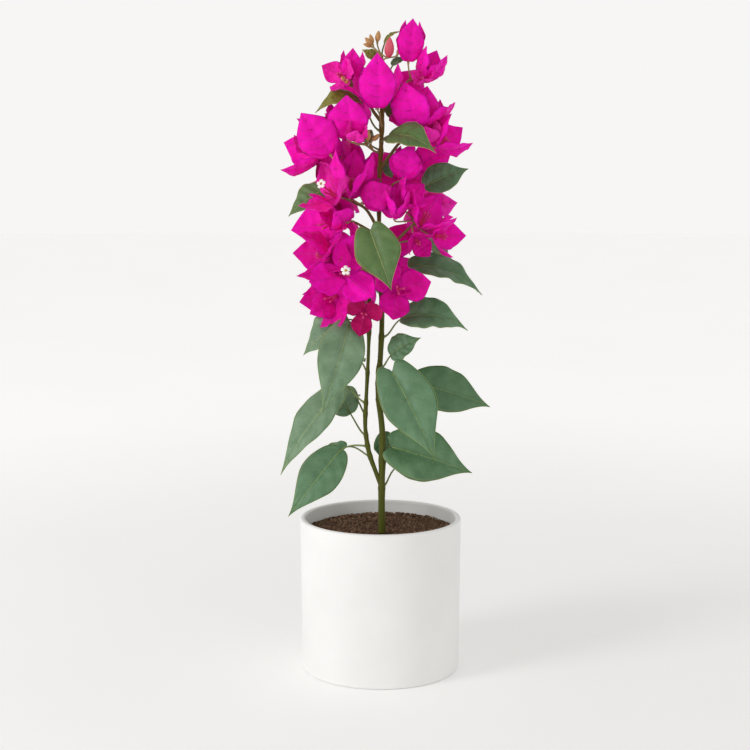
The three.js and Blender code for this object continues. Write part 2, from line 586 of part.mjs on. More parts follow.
function spraySolid(row, index, grow = 0) {
  const random = seeded(100 + index);
  const hub = vec(row.hub);
  const { start, heading } = sprout(row.on, row.at, hub);
  const distance = start.distanceTo(hub);
  const path = new THREE.QuadraticBezierCurve3(start, start.clone().addScaledVector(heading, distance * 0.4), hub);
  const pieces = [limb(path, TWIG_RADIUS * 1.4, TWIG_RADIUS, 4, 3, grow)];
  const heads = [...row.blooms, ...row.buds];
  heads.forEach((spec, k) => {
    const foot = path.getPoint(1 - (STALK_SPREAD * k) / heads.length);
    pieces.push(stalk(foot, vec(spec.at), aim(spec.clock, spec.front).axis, random, TWIG_RADIUS, grow));
    pieces.push(...(row.buds.includes(spec) ? bud(spec, grow) : bloom(spec, grow)));
  });
  return fuse(pieces);
}

// ---------------------------------------------------------------- assembly

const plant = new THREE.Group();
const placed = []; // what stands already, each a little larger than life, to be cut away from what follows

function addPart(name, solid, grown, colour, roughness) {
  let clear = solid;
  const box = solid.boundingBox();
  for (const other of placed) {
    if (boxesMeet(box, other.boundingBox())) clear = clear.subtract(other);
  }
  const material = new THREE.MeshStandardMaterial({ color: colour, roughness, metalness: 0 });
  const mesh = new THREE.Mesh(toGeometry(biggestPiece(clear)), material);
  mesh.name = name;
  plant.add(mesh);
  if (grown) placed.push(grown);
}

function boxesMeet(a, b) {
  return [0, 1, 2].every((axis) => a.min[axis] < b.max[axis] && b.min[axis] < a.max[axis]);
}

addPart("pot", potSolid(), null, COLOURS.pot, 0.55);
addPart("soil", soilSolid(), null, COLOURS.soil, 1);
for (const [name, row] of limbs) {
  addPart(name, row.build(0), row.build(JOINT_GAP), name.includes("stem") ? COLOURS.stem : COLOURS.bough, 0.75);
}
for (const row of LEAVES) {
  addPart(row.name, leafSolid(row), leafSolid(row, JOINT_GAP), row.young ? COLOURS.young_leaf : COLOURS.leaf, 0.6);
}
SPRAYS.forEach((row, index) => {
  const colour = row.blooms.length > 0 ? COLOURS.spray : COLOURS.bud;
  addPart(row.name, spraySolid(row, index), spraySolid(row, index, JOINT_GAP), colour, 0.65);
});

export default plant;
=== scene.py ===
# Bougainvillea in a round white pot, dressed around its CAD frame.
# Sizes and places are in millimetres, in the frame of the part, and turn into metres with each mesh.
import math

import bpy
import numpy as np
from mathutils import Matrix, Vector


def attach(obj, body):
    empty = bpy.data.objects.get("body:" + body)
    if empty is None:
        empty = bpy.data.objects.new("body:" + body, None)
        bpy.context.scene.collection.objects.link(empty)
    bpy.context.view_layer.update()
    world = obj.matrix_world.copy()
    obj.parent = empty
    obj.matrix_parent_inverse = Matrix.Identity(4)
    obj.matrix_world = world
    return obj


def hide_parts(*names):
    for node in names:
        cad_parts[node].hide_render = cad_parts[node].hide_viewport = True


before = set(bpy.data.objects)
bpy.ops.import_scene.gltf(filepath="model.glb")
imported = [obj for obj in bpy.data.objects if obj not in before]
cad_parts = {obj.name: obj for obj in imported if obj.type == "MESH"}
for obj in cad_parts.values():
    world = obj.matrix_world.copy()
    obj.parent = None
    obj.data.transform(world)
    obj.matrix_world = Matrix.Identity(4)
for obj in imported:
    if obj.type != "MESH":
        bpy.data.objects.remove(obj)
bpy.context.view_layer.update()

# ---------------- driving sizes, as in the part's source

MM = 0.001
POT_DIAMETER = 140.0
POT_HEIGHT = 133.6
POT_WALL = 4.5
POT_FLOOR = 6.0
POT_FOOT_SETBACK = 1.2
POT_RIM_ROUND = 2.0
POT_FOOT_ROUND = 2.5
SOIL_DEPTH_BELOW_RIM = 10.4
SOIL_TOP = POT_HEIGHT - SOIL_DEPTH_BELOW_RIM
JOINT_GAP = 0.3

PETIOLE_RADIUS = 0.8
PETIOLE_SUNK = 7.0
TWIG_RADIUS = 0.72
STALK_SPREAD = 0.6
SIDE_STEM_FORK = 163
LEAF_OUTLINE = dict(widest=0.38, root_round=0.9, tip_drawn=0.75)
BRACT_OUTLINE = dict(widest=0.45, root_round=0.85, tip_drawn=0.15)
BRACT_SIZE = 37.0
BRACT_WIDTH_SHARE = 0.82
BRACT_ROOT_SETOFF = 0.8
FLOWER_TUBE_LENGTH = 19.0

# finer sizes, which the source leaves to this script
LEAF_THICKNESS = 0.7
BRACT_THICKNESS = 0.32
LEAF_STATIONS = 60
LEAF_CELLS = 14
BRACT_STATIONS = 38
BRACT_CELLS = 10
VEIN_RISE = 0.2  # how far a side vein climbs towards the tip on its way to the margin, over the length
CLOSED_TUBE_LENGTH = 15.0
FLOWER_TUBE_RADIUS = 0.95
STAR_RADIUS = 4.3
FLOWER_NOD = np.array((0, -0.9, 0))  # an open flower turns outwards from its tube

MAIN_STEM_RADII = (3.0, 1.1)  # at the foot and at the tip
SIDE_STEM_RADII = (1.9, 1.2)
BOUGH_RADII = (1.6, 1.0)
NODE_SWELL, NODE_REACH = 0.42, 2.6  # where a leaf or a twig leaves a stem
NODE_FOOT_SWELL, NODE_FOOT_REACH = 0.2, 5.0  # the longer swelling below it

# How a blade departs from a flat one. arch lifts the middle of its length, fold and bulge lift the two
# halves, lobe draws the corners of the root back, wave and ruffle bend the margins, quilt puffs the skin
# between the side veins, crease crumples it, and hook bends the tip. pairs spaces the side veins.
LEAF_FORM = dict(fold=0.18, bulge=0.1, ruffle=0.05, quilt=0.9, crease=0.4, hook=-0.12, pairs=6)
BRACT_FORM = dict(arch=-0.1, fold=-0.05, bulge=-0.16, lobe=0.05, wave=0.08, ruffle=0.06, quilt=0.6,
                  crease=0.4, hook=-0.16, pairs=5)
LEAF_RIB_RADII = (0.26, 0.12)  # of a side vein, at the midrib and at the margin
BRACT_RIB_RADII = (0.22, 0.17)
LEAF_RIB_SEAT = 0.44  # from a leaf's middle surface to its ribs' centres, over its thickness
LEAF_RIM_RADIUS = 0.17
STAR_LOBES = 5
PINK_BUD_SIZE = 12  # a longer bud is pink
LEAF_SEED, SPRAY_SEED, SOIL_SEED = 40, 100, 7
STEM_GREEN_TO, STEM_BROWN_FROM = 300, 430  # heights between which the stem's colour turns

POT_SIDES = 144
SOIL_SIDES = 96
GRANULE_SIZE = 1.3
GRANULE_COUNT = 3600
BED_BELOW_SOIL_TOP = 1.6  # the closed bed that the granules lie on

CAMERA_PLACE = (-0.0048961, -1.3098, 0.43575)  # in metres, from the pot's rim and foot in the photograph
CAMERA_DROP = 7.7227  # degrees below level
CAMERA_LENS = 73.55
CAMERA_SENSOR = 36
SKY = ((0.2, (247, 246, 245)), (0.6, (208, 206, 204)))  # tones by the sine of the height above level
FLOOR_RADIUS = 9000.0
FLOOR_TOP, FLOOR_UNDERSIDE = -0.2, -4.0
# the floor's painted glow: its own emission, rising with the distance from the pot
FLOOR_GLOW = dict(From_Min=0.2, From_Max=1.6, To_Min=0.12, To_Max=0.285)  # metres away, and strength

# ---------------- the plant's rows, as in the part's source, with a shade for each leaf and bloom

MAIN_STEM_PATH = [
  (1, -20, SOIL_TOP + JOINT_GAP), (0.8, -18, 162), (1.3, -13, 210), (-1.8, -9, 245),
  (0, -7, 280), (1, -5, 306), (-0.6, -3, 357), (-1.5, -2, 404), (-0.8, 0, 434),
  (0.8, 0, 467), (0.6, 0, 500), (1.6, 0, 520),
]

SIDE_STEM_PATH = [
  (-4.4, -17, 177), (-10, -15.5, 193), (-13.2, -14, 214), (-12.6, -13, 236),
  (-10.4, -12, 280), (-9.6, -12, 320), (-10.4, -13, 344),
]


def vec(values):
    return np.array(values, float)


def bough(name, at, path):
    """A bough by the height where it leaves the main stem, and the path it takes from there."""
    return dict(name=f"bough_{name}", at=at, on="main_stem", path=path)


BOUGHS = [
  bough("left_upper", 380, [(-8, -8, 394), (-14, -13, 402), (-24, -16, 407)]),
  bough("left_middle", 370, [(-8, -9, 381), (-15, -13, 386), (-22, -15, 390)]),
  bough("right_upper", 434, [(8, -3, 446), (16, -6, 456), (26, -8, 461)]),
  bough("right_lower", 360, [(9, -8, 370), (17, -12, 378), (25, -14, 386)]),
  bough("top_left", 473, [(-6, -2, 482), (-11, -4, 490), (-18, -5, 498)]),
  bough("top_right", 480, [(7, -2, 491), (13, -3, 500), (21, -4, 506)]),
]


def leaf(name, at, base, tip, width, face, arch, on="main_stem", shade="green", **more):
    """A leaf by the height where its petiole leaves the stem, the root and tip of its blade, the blade's
    width, where its upper side faces, and how far it arches."""
    return dict(name=f"leaf_{name}", at=at, base=vec(base), tip=vec(tip), width=width, face=vec(face),
                arch=arch, on=on, shade=shade, **more)


LEAVES = [
  leaf("front_left", 300, (-26, -24, 307), (-49, -48, 232), 39, (0.2, -1, 0.3), 0.06, on="side_stem",
    shade="pale"),
  leaf("left_behind", 296, (-28, 4, 307), (-68, 12, 274), 34, (-0.3, -0.8, 0.6), 0.06, on="side_stem",
    shade="pale"),
  leaf("left_long", 236, (-32, -4, 250), (-87, -18, 174), 31, (-0.35, -0.85, 0.4), 0.08, on="side_stem",
    shade="pale"),
  leaf("left_small", 208, (-26, 6, 223), (-48, 20, 252), 30, (0.1, -0.8, 0.5), 0.05, on="side_stem",
    shade="pale"),
  leaf("low_left", 199, (-34, -14, 196), (-79, -34, 141), 35, (0.15, -0.85, 0.45), 0.06, on="side_stem"),
  leaf("low_left_behind", 190, (-30, 16, 192), (-66, 44, 158), 28, (-0.2, -0.4, 0.8), 0.08,
    on="side_stem", shade="dark"),
  leaf("front_right", 262, (9.5, -28, 265), (46, -52, 194), 47, (0.1, -0.95, 0.3), 0.05, lobe=0.14),
  leaf("right_long", 252, (25, 4, 251), (97.5, 22, 227), 42, (0, -0.9, 0.5), 0.06, shade="dark"),
  leaf("low_right", 186, (9, -16, 198), (79, -18, 176), 48, (0.1, -0.9, 0.4), 0.04, lobe=0.12,
    shade="dark"),
  leaf("low_right_behind", 163, (15, 8, 177), (60, 40, 166), 34, (0.1, -0.5, 0.8), 0.08, shade="dark"),
  leaf("low_middle", 205, (4, 6, 208), (3, 26, 176), 19, (0, -0.9, -0.3), 0.05, shade="dark"),
  leaf("wavy", 266, (8, -15, 277), (34, -20, 293), 26, (-0.3, -0.8, 0.55), 0.08, wave=0.12),
  leaf("right_upper", 292, (16.5, -8, 307.5), (75, -6, 298), 41, (0, -0.58, 0.8), 0.16),
  leaf("right_high", 345, (23, 4, 353), (88.5, 12, 327), 37, (0, -0.5, 0.87), 0.12, shade="dark"),
  leaf("right_flowers", 412, (37, 10, 419), (76, 22, 435), 28, (0.1, -0.85, 0.5), 0.06, shade="dark"),
  leaf("top_right", 457, (6, -16, 461), (45, -42, 448), 32, (0, -0.7, 0.7), 0.16, shade="young"),
  leaf("heart_front", 366, (-9, -46, 384), (8.5, -58, 336), 38, (0, -0.97, 0.2), 0.05, lobe=0.16,
    shade="young"),
  leaf("left_flowers", 405, (-46, 8, 418), (-80, 14, 394), 27, (-0.3, -0.75, 0.6), 0.06, shade="young"),
  leaf("left_middle", 338, (-42, 16, 345), (-62, 26, 319), 24, (-0.3, -0.8, 0.4), 0.06, shade="dark"),
  leaf("top_left", 466, (-18, -4, 491), (-55, -14, 481), 22, (0, -0.6, 0.8), 0.2, shade="olive"),
  leaf("top_small", 488, (5, 6, 495), (15, 13, 470), 15, (0.2, -0.9, 0.2), 0.05, shade="young"),
  leaf("tip_narrow", 512, (3, 3, 539), (15.5, 5, 549), 5, (-0.3, -0.6, 0.8), 0.15, shade="olive"),
  leaf("tip_left", 506, (-4, 4, 526), (-16, 6, 534), 10, (0.2, -0.9, 0.5), 0.1, shade="olive"),
  leaf("tip_right", 500, (9, 6, 521), (22, 8, 527), 9, (-0.2, -0.7, 0.7), 0.1, shade="dark"),
  leaf("middle_small", 436, (4, 7, 441), (10, 16, 426), 13, (0.2, -0.9, 0.3), 0.05, shade="dark"),
  leaf("back_low_right", 190, (12, 14, 198), (30, 68, 162), 44, (0.1, 0.5, 0.85), 0.07),
  leaf("back_low_left", 226, (-24, 18, 236), (-58, 66, 212), 35, (-0.2, 0.5, 0.85), 0.07,
    on="side_stem"),
  leaf("back_right", 238, (14, 18, 246), (42, 68, 214), 42, (0.2, 0.5, 0.85), 0.07),
  leaf("back_left", 262, (-20, 18, 268), (-50, 62, 238), 38, (-0.3, 0.5, 0.85), 0.07, on="side_stem"),
  leaf("back_middle", 318, (2, 18, 332), (8, 77, 312), 40, (0.1, 0.5, 0.85), 0.08, shade="pale"),
  leaf("back_upper", 366, (28, 16, 372), (62, 46, 352), 34, (0.3, 0.5, 0.85), 0.08, shade="dark"),
  leaf("back_high", 450, (-12, 12, 456), (-34, 44, 470), 28, (-0.3, 0.5, 0.85), 0.08, shade="young"),
]


def bloom(at, clock, front, opening, size=BRACT_SIZE, spin=180, width=BRACT_WIDTH_SHARE, shade="bright",
          flower=False):
    """A bloom by its heart, where its axis points (see aim), how far its bracts open from that axis, how
    long they are, how far the first is turned about the axis, their width over their length, their shade,
    and whether its flower is open."""
    return dict(at=vec(at), clock=clock, front=front, open=opening, size=size, spin=spin, width=width,
                shade=shade, flower=flower)


def bud(at, clock, front, size):
    """A bud by its foot, where it points, and its length."""
    return dict(at=vec(at), clock=clock, front=front, size=size)


def spray(name, at, hub, on, *heads):
    """A spray by where its twig leaves its stem (a height, or the tip), where its stalks part, what it
    grows on, and its blooms and buds."""
    return dict(name=f"spray_{name}", at=at, hub=vec(hub), on=on, heads=heads)


# A bloom of the deep shade gets a darker copy of the bract colour. This is partly a deeper tone of its own
# and partly painted shade for blooms that sit in shade among the others.
SPRAYS = [
  spray("tip", "tip", (1, -1, 529), "main_stem",
    bud((6.5, -3, 527), 86, 10, 16),
    bud((-8, -2, 536), 165, 15, 7),
    bud((-8, -4, 537), 132, 20, 8),
    bud((-7, -1, 538), 104, 0, 8),
    bud((-3, 1, 540), 82, -5, 9),
    bud((14, -3, 529), 76, 10, 6)),
  spray("top_right", "tip", (25, -4, 509), "bough_top_right",
    bloom((23, -3, 523), 84, -6, 9, 36, width=0.64),
    bloom((36, -4, 508), 66, 5, 20, 29, spin=0, width=0.8),
    bloom((36, -9, 506), 110, 50, 30, 16, width=0.95, shade="soft")),
  spray("top_left", "tip", (-22, -6, 501), "bough_top_left",
    bloom((-31, -10, 510), 152, 50, 50, 21, spin=0, width=0.9, shade="soft"),
    bloom((-25, -5, 508), 86, -6, 18, 27, width=0.66),
    bud((-30, -16, 507), 130, 60, 7),
    bud((-29, -15, 505), 60, 60, 6)),
  spray("front_top", 470, (-1, -16, 480), "main_stem",
    bloom((-3, -21, 484), 90, -12, 24, 46, width=0.68)),
  spray("left_high", 448, (-13, -16, 455), "main_stem",
    bloom((-27, -24, 459), 92, -10, 24, 37, width=0.94),
    bloom((-22, -30, 457), 74, 34, 24, 18, width=0.9, shade="soft"),
    bud((-14, -17, 460), 115, 20, 9),
    bud((-11, -19, 458), 85, 25, 9),
    bud((-7, -17, 458), 40, 10, 8)),
  spray("left_upper", "tip", (-28, -17, 409), "bough_left_upper",
    bloom((-26, -22, 410), 84, 6, 22, 44, spin=0, width=0.62),
    bloom((-38, -8, 416), 98, -8, 18, 36, width=0.7, shade="deep_with_painted_shade"),
    bloom((-50, -8, 446), 162, 10, 38, 40, spin=0),
    bloom((-42, -27, 446), 125, -22, 24, 42, width=0.84),
    bloom((-37, -26, 411), 138, 30, 48, 34, spin=-30, flower=True, shade="soft"),
    bloom((-15, -29, 406), 30, -16, 22, 28, width=0.98, shade="deep_with_painted_shade")),
  spray("left_middle", "tip", (-26, -16, 391), "bough_left_middle",
    bloom((-37, -18, 391), 192, 30, 45, 42, spin=0),
    bloom((-29, -27, 390), 135, 30, 25, 25, width=0.95)),
  spray("left_low", "tip", (-18, -16, 352), "side_stem",
    bloom((-40, -16, 362), 178, 10, 30, 38, spin=0, shade="deep_with_painted_shade"),
    bloom((-30, -34, 347), 77, 75, 60, 36, spin=0, flower=True),
    bloom((-29, -26, 357), 150, 40, 40, 22, spin=0)),
  spray("low_left", 322, (-26, -16, 325), "side_stem",
    bloom((-37, -18, 328), 190, 50, 55, 33, spin=0, shade="deep_with_painted_shade"),
    bloom((-38, -9, 325), 208, 0, 35, 31, shade="deep_with_painted_shade")),
  spray("low_front", 308, (-12, -24, 313), "side_stem",
    # painted shade in part: this bloom's dark shade is partly its own dark tone and partly the shade between
    # its bracts
    bloom((-14, -32, 315), 258, 80, 50, 22, spin=0, shade="dark")),
  spray("right_upper", "tip", (31, -9, 463), "bough_right_upper",
    bloom((31, -14, 468), 85, -28, 45, 41, spin=150, width=0.88),
    bloom((46, -6, 452), 36, 5, 30, 33, spin=0),
    bloom((40, -12, 456), 104, 25, 26, 23, width=0.95, shade="soft"),
    bloom((33, -4, 470), 80, -20, 25, 34)),
  spray("right_middle", 416, (10, -16, 421), "main_stem",
    bloom((18, -17, 426), 78, -8, 14, 29, width=0.98)),
  spray("right_low", "tip", (29, -15, 390), "bough_right_lower",
    bloom((11, -26, 393), 86, 12, 21, 28, spin=8, width=0.88),
    bloom((19, -15, 404), 45, 15, 38, 28, spin=0),
    bloom((32, -12, 386), 56, 12, 40, 37, spin=0),
    bloom((45, -11, 378), 0, 25, 40, 29, spin=0),
    bloom((29, -25, 376), 310, 50, 40, 19, spin=0, width=0.95, shade="deep_with_painted_shade")),
  spray("low_right", 335, (12, -26, 337), "main_stem",
    bloom((14, -33, 335), 14, 80, 55, 31, spin=0, width=0.9, shade="deep_with_painted_shade"),
    bloom((10, -24, 338), 60, 50, 50, 23, spin=0, shade="deep_with_painted_shade")),
  spray("back_top", 478, (0, 18, 488), "main_stem",
    bloom((-13, 26, 496), 130, -50, 46),
    bloom((14, 27, 489), 40, -45, 48, spin=160, shade="deep_with_painted_shade")),
  spray("back_left", 420, (-16, 22, 430), "main_stem",
    bloom((-34, 24, 444), 150, -40, 44),
    bloom((-18, 40, 430), 100, -70, 52, spin=150, shade="deep_with_painted_shade"),
    bloom((-30, 34, 408), 200, -45, 46, spin=0, shade="soft")),
  spray("back_right", 404, (16, 24, 414), "main_stem",
    bloom((30, 26, 436), 30, -40, 44),
    bloom((18, 44, 418), 80, -75, 55, spin=20, flower=True, shade="deep_with_painted_shade"),
    bloom((32, 34, 398), 330, -45, 46, spin=0, shade="soft")),
  spray("back_low", 350, (-6, 24, 358), "main_stem",
    bloom((-22, 34, 364), 170, -50, 46, 35),
    bloom((8, 38, 358), 60, -70, 52, 35, shade="deep_with_painted_shade"),
    bloom((-12, 32, 338), 250, -45, 46, 33, shade="soft")),
]

# ---------------- vectors, curves and meshes


def unit(v):
    return v / np.linalg.norm(v)


def lerp(a, b, share):
    return a + (b - a) * share


def circle(sides):
    """The angles of so many even sides."""
    return np.arange(sides) / sides * 2 * math.pi


def seeded(seed):
    """The same repeatable stream of numbers from 0 to 1 as in the part's source."""
    state = seed

    def draw():
        nonlocal state
        state = (state * 1664525 + 1013904223) % 4294967296
        return state / 4294967296

    return draw


def aim(clock, front):
    """Three unit vectors at right angles. The first points to clock in the front view (0 = right,
    90 = up) and leans front degrees towards the viewer. The other two span the plane across it."""
    c, f = math.radians(clock), math.radians(front)
    level = vec((math.cos(c), 0, math.sin(c)))
    back = vec((0, 1, 0))
    axis = level * math.cos(f) - back * math.sin(f)
    away = level * math.sin(f) + back * math.cos(f)
    return axis, away, vec((-math.sin(c), 0, math.cos(c)))


class Curve:
    """A smooth line through dense points, read by its share of length."""

    def __init__(self, dense):
        self.dense = dense
        steps = np.linalg.norm(np.diff(dense, axis=0), axis=1)
        self.reach = np.concatenate([[0], np.cumsum(steps)])
        self.length = self.reach[-1]

    def at(self, share):
        goal = np.asarray(share) * self.length
        return np.stack([np.interp(goal, self.reach, self.dense[:, k]) for k in range(3)], -1)

    def tangent(self, share):
        return unit(self.at(min(share + 0.002, 1)) - self.at(max(share - 0.002, 0)))

    def share_at_height(self, height):
        low, high = 0.0, 1.0
        for _ in range(24):
            middle = (low + high) / 2
            if self.at(middle)[2] < height:
                low = middle
            else:
                high = middle
        return (low + high) / 2


def bezier_at(t, *knots):
    """A Bezier curve's point at t, or its points at a column of t."""
    while len(knots) > 1:
        knots = [lerp(a, b, t) for a, b in zip(knots, knots[1:])]
    return knots[0]


def bezier(*knots):
    return Curve(bezier_at(np.linspace(0, 1, 60)[:, None], *knots))


def catmull(stations):
    """A centripetal Catmull-Rom curve through the stations."""
    p = [vec(s) for s in stations]
    p = [2 * p[0] - p[1], *p, 2 * p[-1] - p[-2]]
    t = np.linspace(0, 1, 40)[:, None]
    dense = []
    for p0, p1, p2, p3 in zip(p, p[1:], p[2:], p[3:]):
        d0, d1, d2 = (np.linalg.norm(b - a) ** 0.5 for a, b in ((p0, p1), (p1, p2), (p2, p3)))
        m1 = ((p1 - p0) / d0 - (p2 - p0) / (d0 + d1) + (p2 - p1) / d1) * d1
        m2 = ((p2 - p1) / d1 - (p3 - p1) / (d1 + d2) + (p3 - p2) / d2) * d1
        part = p1 + m1 * t + (-3 * p1 + 3 * p2 - 2 * m1 - m2) * t**2 + (2 * p1 - 2 * p2 + m1 + m2) * t**3
        dense.append(part[:-1])
    return Curve(np.concatenate([*dense, p[-2][None]]))


def add_object(name, data):
    thing = bpy.data.objects.new(name, data)
    bpy.context.scene.collection.objects.link(thing)
    return thing


class Surface:
    """Gathers closed shells in millimetres, and makes them one mesh object in metres."""

    def __init__(self):
        self.points = []
        self.faces = []
        self.slots = []
        self.count = 0

    def add(self, points, faces, slot=0):
        """Adds one shell. slot is its material's number, or one number a face."""
        self.points.append(points)
        self.faces.extend([tuple(i + self.count for i in face) for face in faces])
        self.slots.extend([slot] * len(faces) if isinstance(slot, int) else slot)
        self.count += len(points)

    def build(self, name, materials, slot, nodes):
        mesh = bpy.data.meshes.new(name)
        mesh.from_pydata((np.concatenate(self.points) * MM).tolist(), [], self.faces)
        mesh.polygons.foreach_set("use_smooth", [True] * len(self.faces))
        mesh.polygons.foreach_set("material_index", self.slots)
        mesh.update()
        for material in materials:
            mesh.materials.append(material)
        piece = add_object(name, mesh)
        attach(piece, "root")
        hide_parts(*nodes)


def ring_faces(rings, sides):
    """Faces of a closed shell of rings between two poles: point 0 is the first pole, then ring by
    ring, and the last point is the other pole."""
    faces = [(0, 1 + (k + 1) % sides, 1 + k) for k in range(sides)]
    for r in range(rings - 1):
        low = 1 + r * sides
        for k in range(sides):
            n = (k + 1) % sides
            faces.append((low + k, low + n, low + sides + n, low + sides + k))
    low = 1 + (rings - 1) * sides
    end = 1 + rings * sides
    faces.extend((low + k, low + (k + 1) % sides, end) for k in range(sides))
    return faces


def closed(first, rings, last):
    """Points and faces of a closed shell: a pole, rings of points one after another, and a pole."""
    return np.concatenate([[first], *rings, [last]]), ring_faces(len(rings), len(rings[0]))


def carried_frames(points):
    """Two vectors across a line of points, carried along it without twisting."""
    along = np.gradient(points, axis=0)
    along /= np.linalg.norm(along, axis=1, keepdims=True)
    start = vec((0, 0, 1)) if abs(along[0][2]) < 0.9 else vec((1, 0, 0))
    first = []
    normal = unit(np.cross(along[0], start))
    for direction in along:
        normal = unit(normal - direction * (normal @ direction))
        first.append(normal)
    first = np.array(first)
    return first, np.cross(along, first)


def tube(points, radii, sides):
    """Points and faces of a closed round tube. radii is one per point, or one per point and side."""
    radii = np.asarray(radii, float)
    radii = radii[:, None] * np.ones(sides) if radii.ndim == 1 else radii
    first, second = carried_frames(points)
    turn = circle(sides)[None, :, None]
    spokes = first[:, None] * np.cos(turn) + second[:, None] * np.sin(turn)
    return closed(points[0], points[:, None] + spokes * radii[:, :, None], points[-1])


def lathe(profile, sides):
    """Points and faces of a solid turned about Z, from a profile of (radius, height) between two poles."""
    turn = circle(sides)
    rings = [np.stack([r * np.cos(turn), r * np.sin(turn), np.full(sides, z)], -1) for r, z in profile[1:-1]]
    return closed((0, 0, profile[0][1]), rings, (0, 0, profile[-1][1]))


# ---------------- leaves and bracts


def half_width(share, outline):
    """Half width of a blade at a share of its length, over its full width, by the source's rule."""
    widest = outline["widest"]
    early = np.clip(share / widest, 0, 1)
    swell = lerp(np.sin(early * math.pi / 2), np.sqrt(1 - (1 - early) ** 2), outline["root_round"])
    late = np.clip((share - widest) / (1 - widest), 0, 1)
    fall = lerp(np.cos(late * math.pi / 2), 0.5 + 0.5 * np.cos(late * math.pi), outline["tip_drawn"])
    return 0.5 * np.where(share < widest, swell, np.maximum(fall, 0))


class Blade:
    """A leaf or bract. point() gives its middle surface: share runs from root to tip, side from -1 to 1."""

    def __init__(self, root, tip, face, width, outline, form, seed):
        along = tip - root
        self.length = np.linalg.norm(along)
        self.along = along / self.length
        self.face = unit(face - self.along * (face @ self.along))
        self.across = np.cross(self.face, self.along)
        self.root, self.width, self.outline, self.form = root, width, outline, form
        draw = seeded(seed)
        self.phases = [draw() * 2 * math.pi for _ in range(4)]

    def bend(self, share, side, half):
        """How far the broad forms lift the middle surface off a flat one."""
        form, edge = self.form, np.abs(side)
        lift = form["arch"] * self.length * 4 * share * (1 - share)
        lift = lift + half * (form["fold"] * edge + form["bulge"] * np.sin(math.pi * edge**0.8))
        lift = lift + half * form["wave"] * np.sin(share * 9 + side * 2) * side**2
        return lift + form["hook"] * self.length * np.maximum(share - 0.55, 0) ** 2

    def crumple(self, share, side, half):
        """How far the fine forms lift it: ruffled margins, puffs between the side veins, and creases."""
        form, edge = self.form, np.abs(side)
        phase = self.phases
        ripple = np.sin(share * 17 + phase[0] + 1.7 * np.sign(side))
        ripple = ripple + 0.6 * np.sin(share * 31 + phase[1] * side)
        rows = (share - VEIN_RISE * edge**1.2) * form["pairs"]
        puffs = (np.sin(math.pi * rows) ** 2 - 0.5) * np.minimum(1, 4 * edge) * (1 - edge**4)
        creases = np.sin(share * 23 + side * 6 + phase[2]) * np.sin(side * 8 - share * 5 + phase[3])
        lift = form["ruffle"] * half * ripple * edge**3 + form["quilt"] * puffs
        return lift + form["crease"] * creases * np.sin(math.pi * share)

    def point(self, share, side, rise=0.0):
        share, side = np.broadcast_arrays(np.asarray(share, float), np.asarray(side, float))
        half = half_width(share, self.outline) * self.width
        lift = self.bend(share, side, half) + self.crumple(share, side, half) + rise
        out = np.minimum(1, np.abs(side) * half * 2 / self.width)
        reach = share - self.form["lobe"] * np.sin(math.pi * out) * (1 - share) ** 2
        place = self.root + self.along * (reach * self.length)[..., None]
        return place + self.across * (side * half)[..., None] + self.face * lift[..., None]

    def shell(self, stations, cells, thickness):
        """A closed thin shell: rings across the blade, out over its upper side and back under it."""
        even = np.arange(1, stations) / stations
        shares = 0.55 * even + 0.45 * (0.5 - 0.5 * np.cos(math.pi * even))
        out = np.sin(np.linspace(0.5, -0.5, cells + 1) * math.pi)
        out = 0.5 * out + 0.5 * np.linspace(1, -1, cells + 1)
        sides = np.concatenate([out, out[-2:0:-1]])
        skin = np.concatenate([np.ones(cells + 1), -np.ones(cells - 1)])
        rise = skin * thickness / 2 * np.sqrt(np.clip(1 - sides**2, 0, 1)) ** 0.5
        rise = rise[None] * np.sqrt(np.sin(math.pi * shares))[:, None]
        rings = self.point(shares[:, None], sides[None], rise)
        root, tip = self.point([0.0, 1.0], [0.0, 0.0])
        return closed(root, rings, tip)

    def vein(self, shares, sides, radii, rise):
        """A thin rib along a line of shares and sides, proud of the middle surface by rise."""
        return tube(self.point(shares, sides, rise), radii, 4)

    def ribs(self, thick, thin, rise, steps=12):
        """The midrib and the side veins, which climb to the margins in the furrows of the quilting."""
        pairs = self.form["pairs"]
        shares = np.linspace(0.01, 0.96, 2 * steps)
        found = [self.vein(shares, shares * 0, lerp(thick * 1.5, thin, shares), rise)]
        for k in range(1, pairs):
            for way in (-1, 1):
                sides = np.linspace(0.02, 0.86, steps)
                shares = k / pairs + VEIN_RISE * sides**1.2
                keep = shares < 0.94
                if keep.sum() < 4:
                    continue
                sides, shares = sides[keep], shares[keep]
                skin = rise * (1 - sides**2) ** 0.25
                found.append(self.vein(shares, way * sides, lerp(thick, thin, sides), skin))
        return found

    def rims(self, thick):
        """A fine bead along both margins."""
        shares = np.linspace(0.015, 0.995, 40)
        return [self.vein(shares, shares * 0 + way, np.full(40, thick), 0) for way in (-1, 1)]


# ---------------- where the limbs run


def add_limb(name, path, radii):
    limbs[name] = dict(curve=catmull(path), radii=radii)


def fork_point(limb_name, height):
    curve = limbs[limb_name]["curve"]
    return tuple(curve.at(curve.share_at_height(height)))


def radius_at(limb_name, share):
    return lerp(*limbs[limb_name]["radii"], share)


def sprout(limb_name, height, goal):
    """Where a twig leaves a limb, on the side that faces its goal, or past the limb's tip."""
    curve = limbs[limb_name]["curve"]
    if height == "tip":
        heading = curve.tangent(1)
        return curve.at(1) + heading * JOINT_GAP, heading
    share = curve.share_at_height(height)
    centre, tangent = curve.at(share), curve.tangent(share)
    heading = goal - centre
    heading = unit(heading - tangent * (heading @ tangent))
    return centre + heading * (radius_at(limb_name, share) + JOINT_GAP), heading


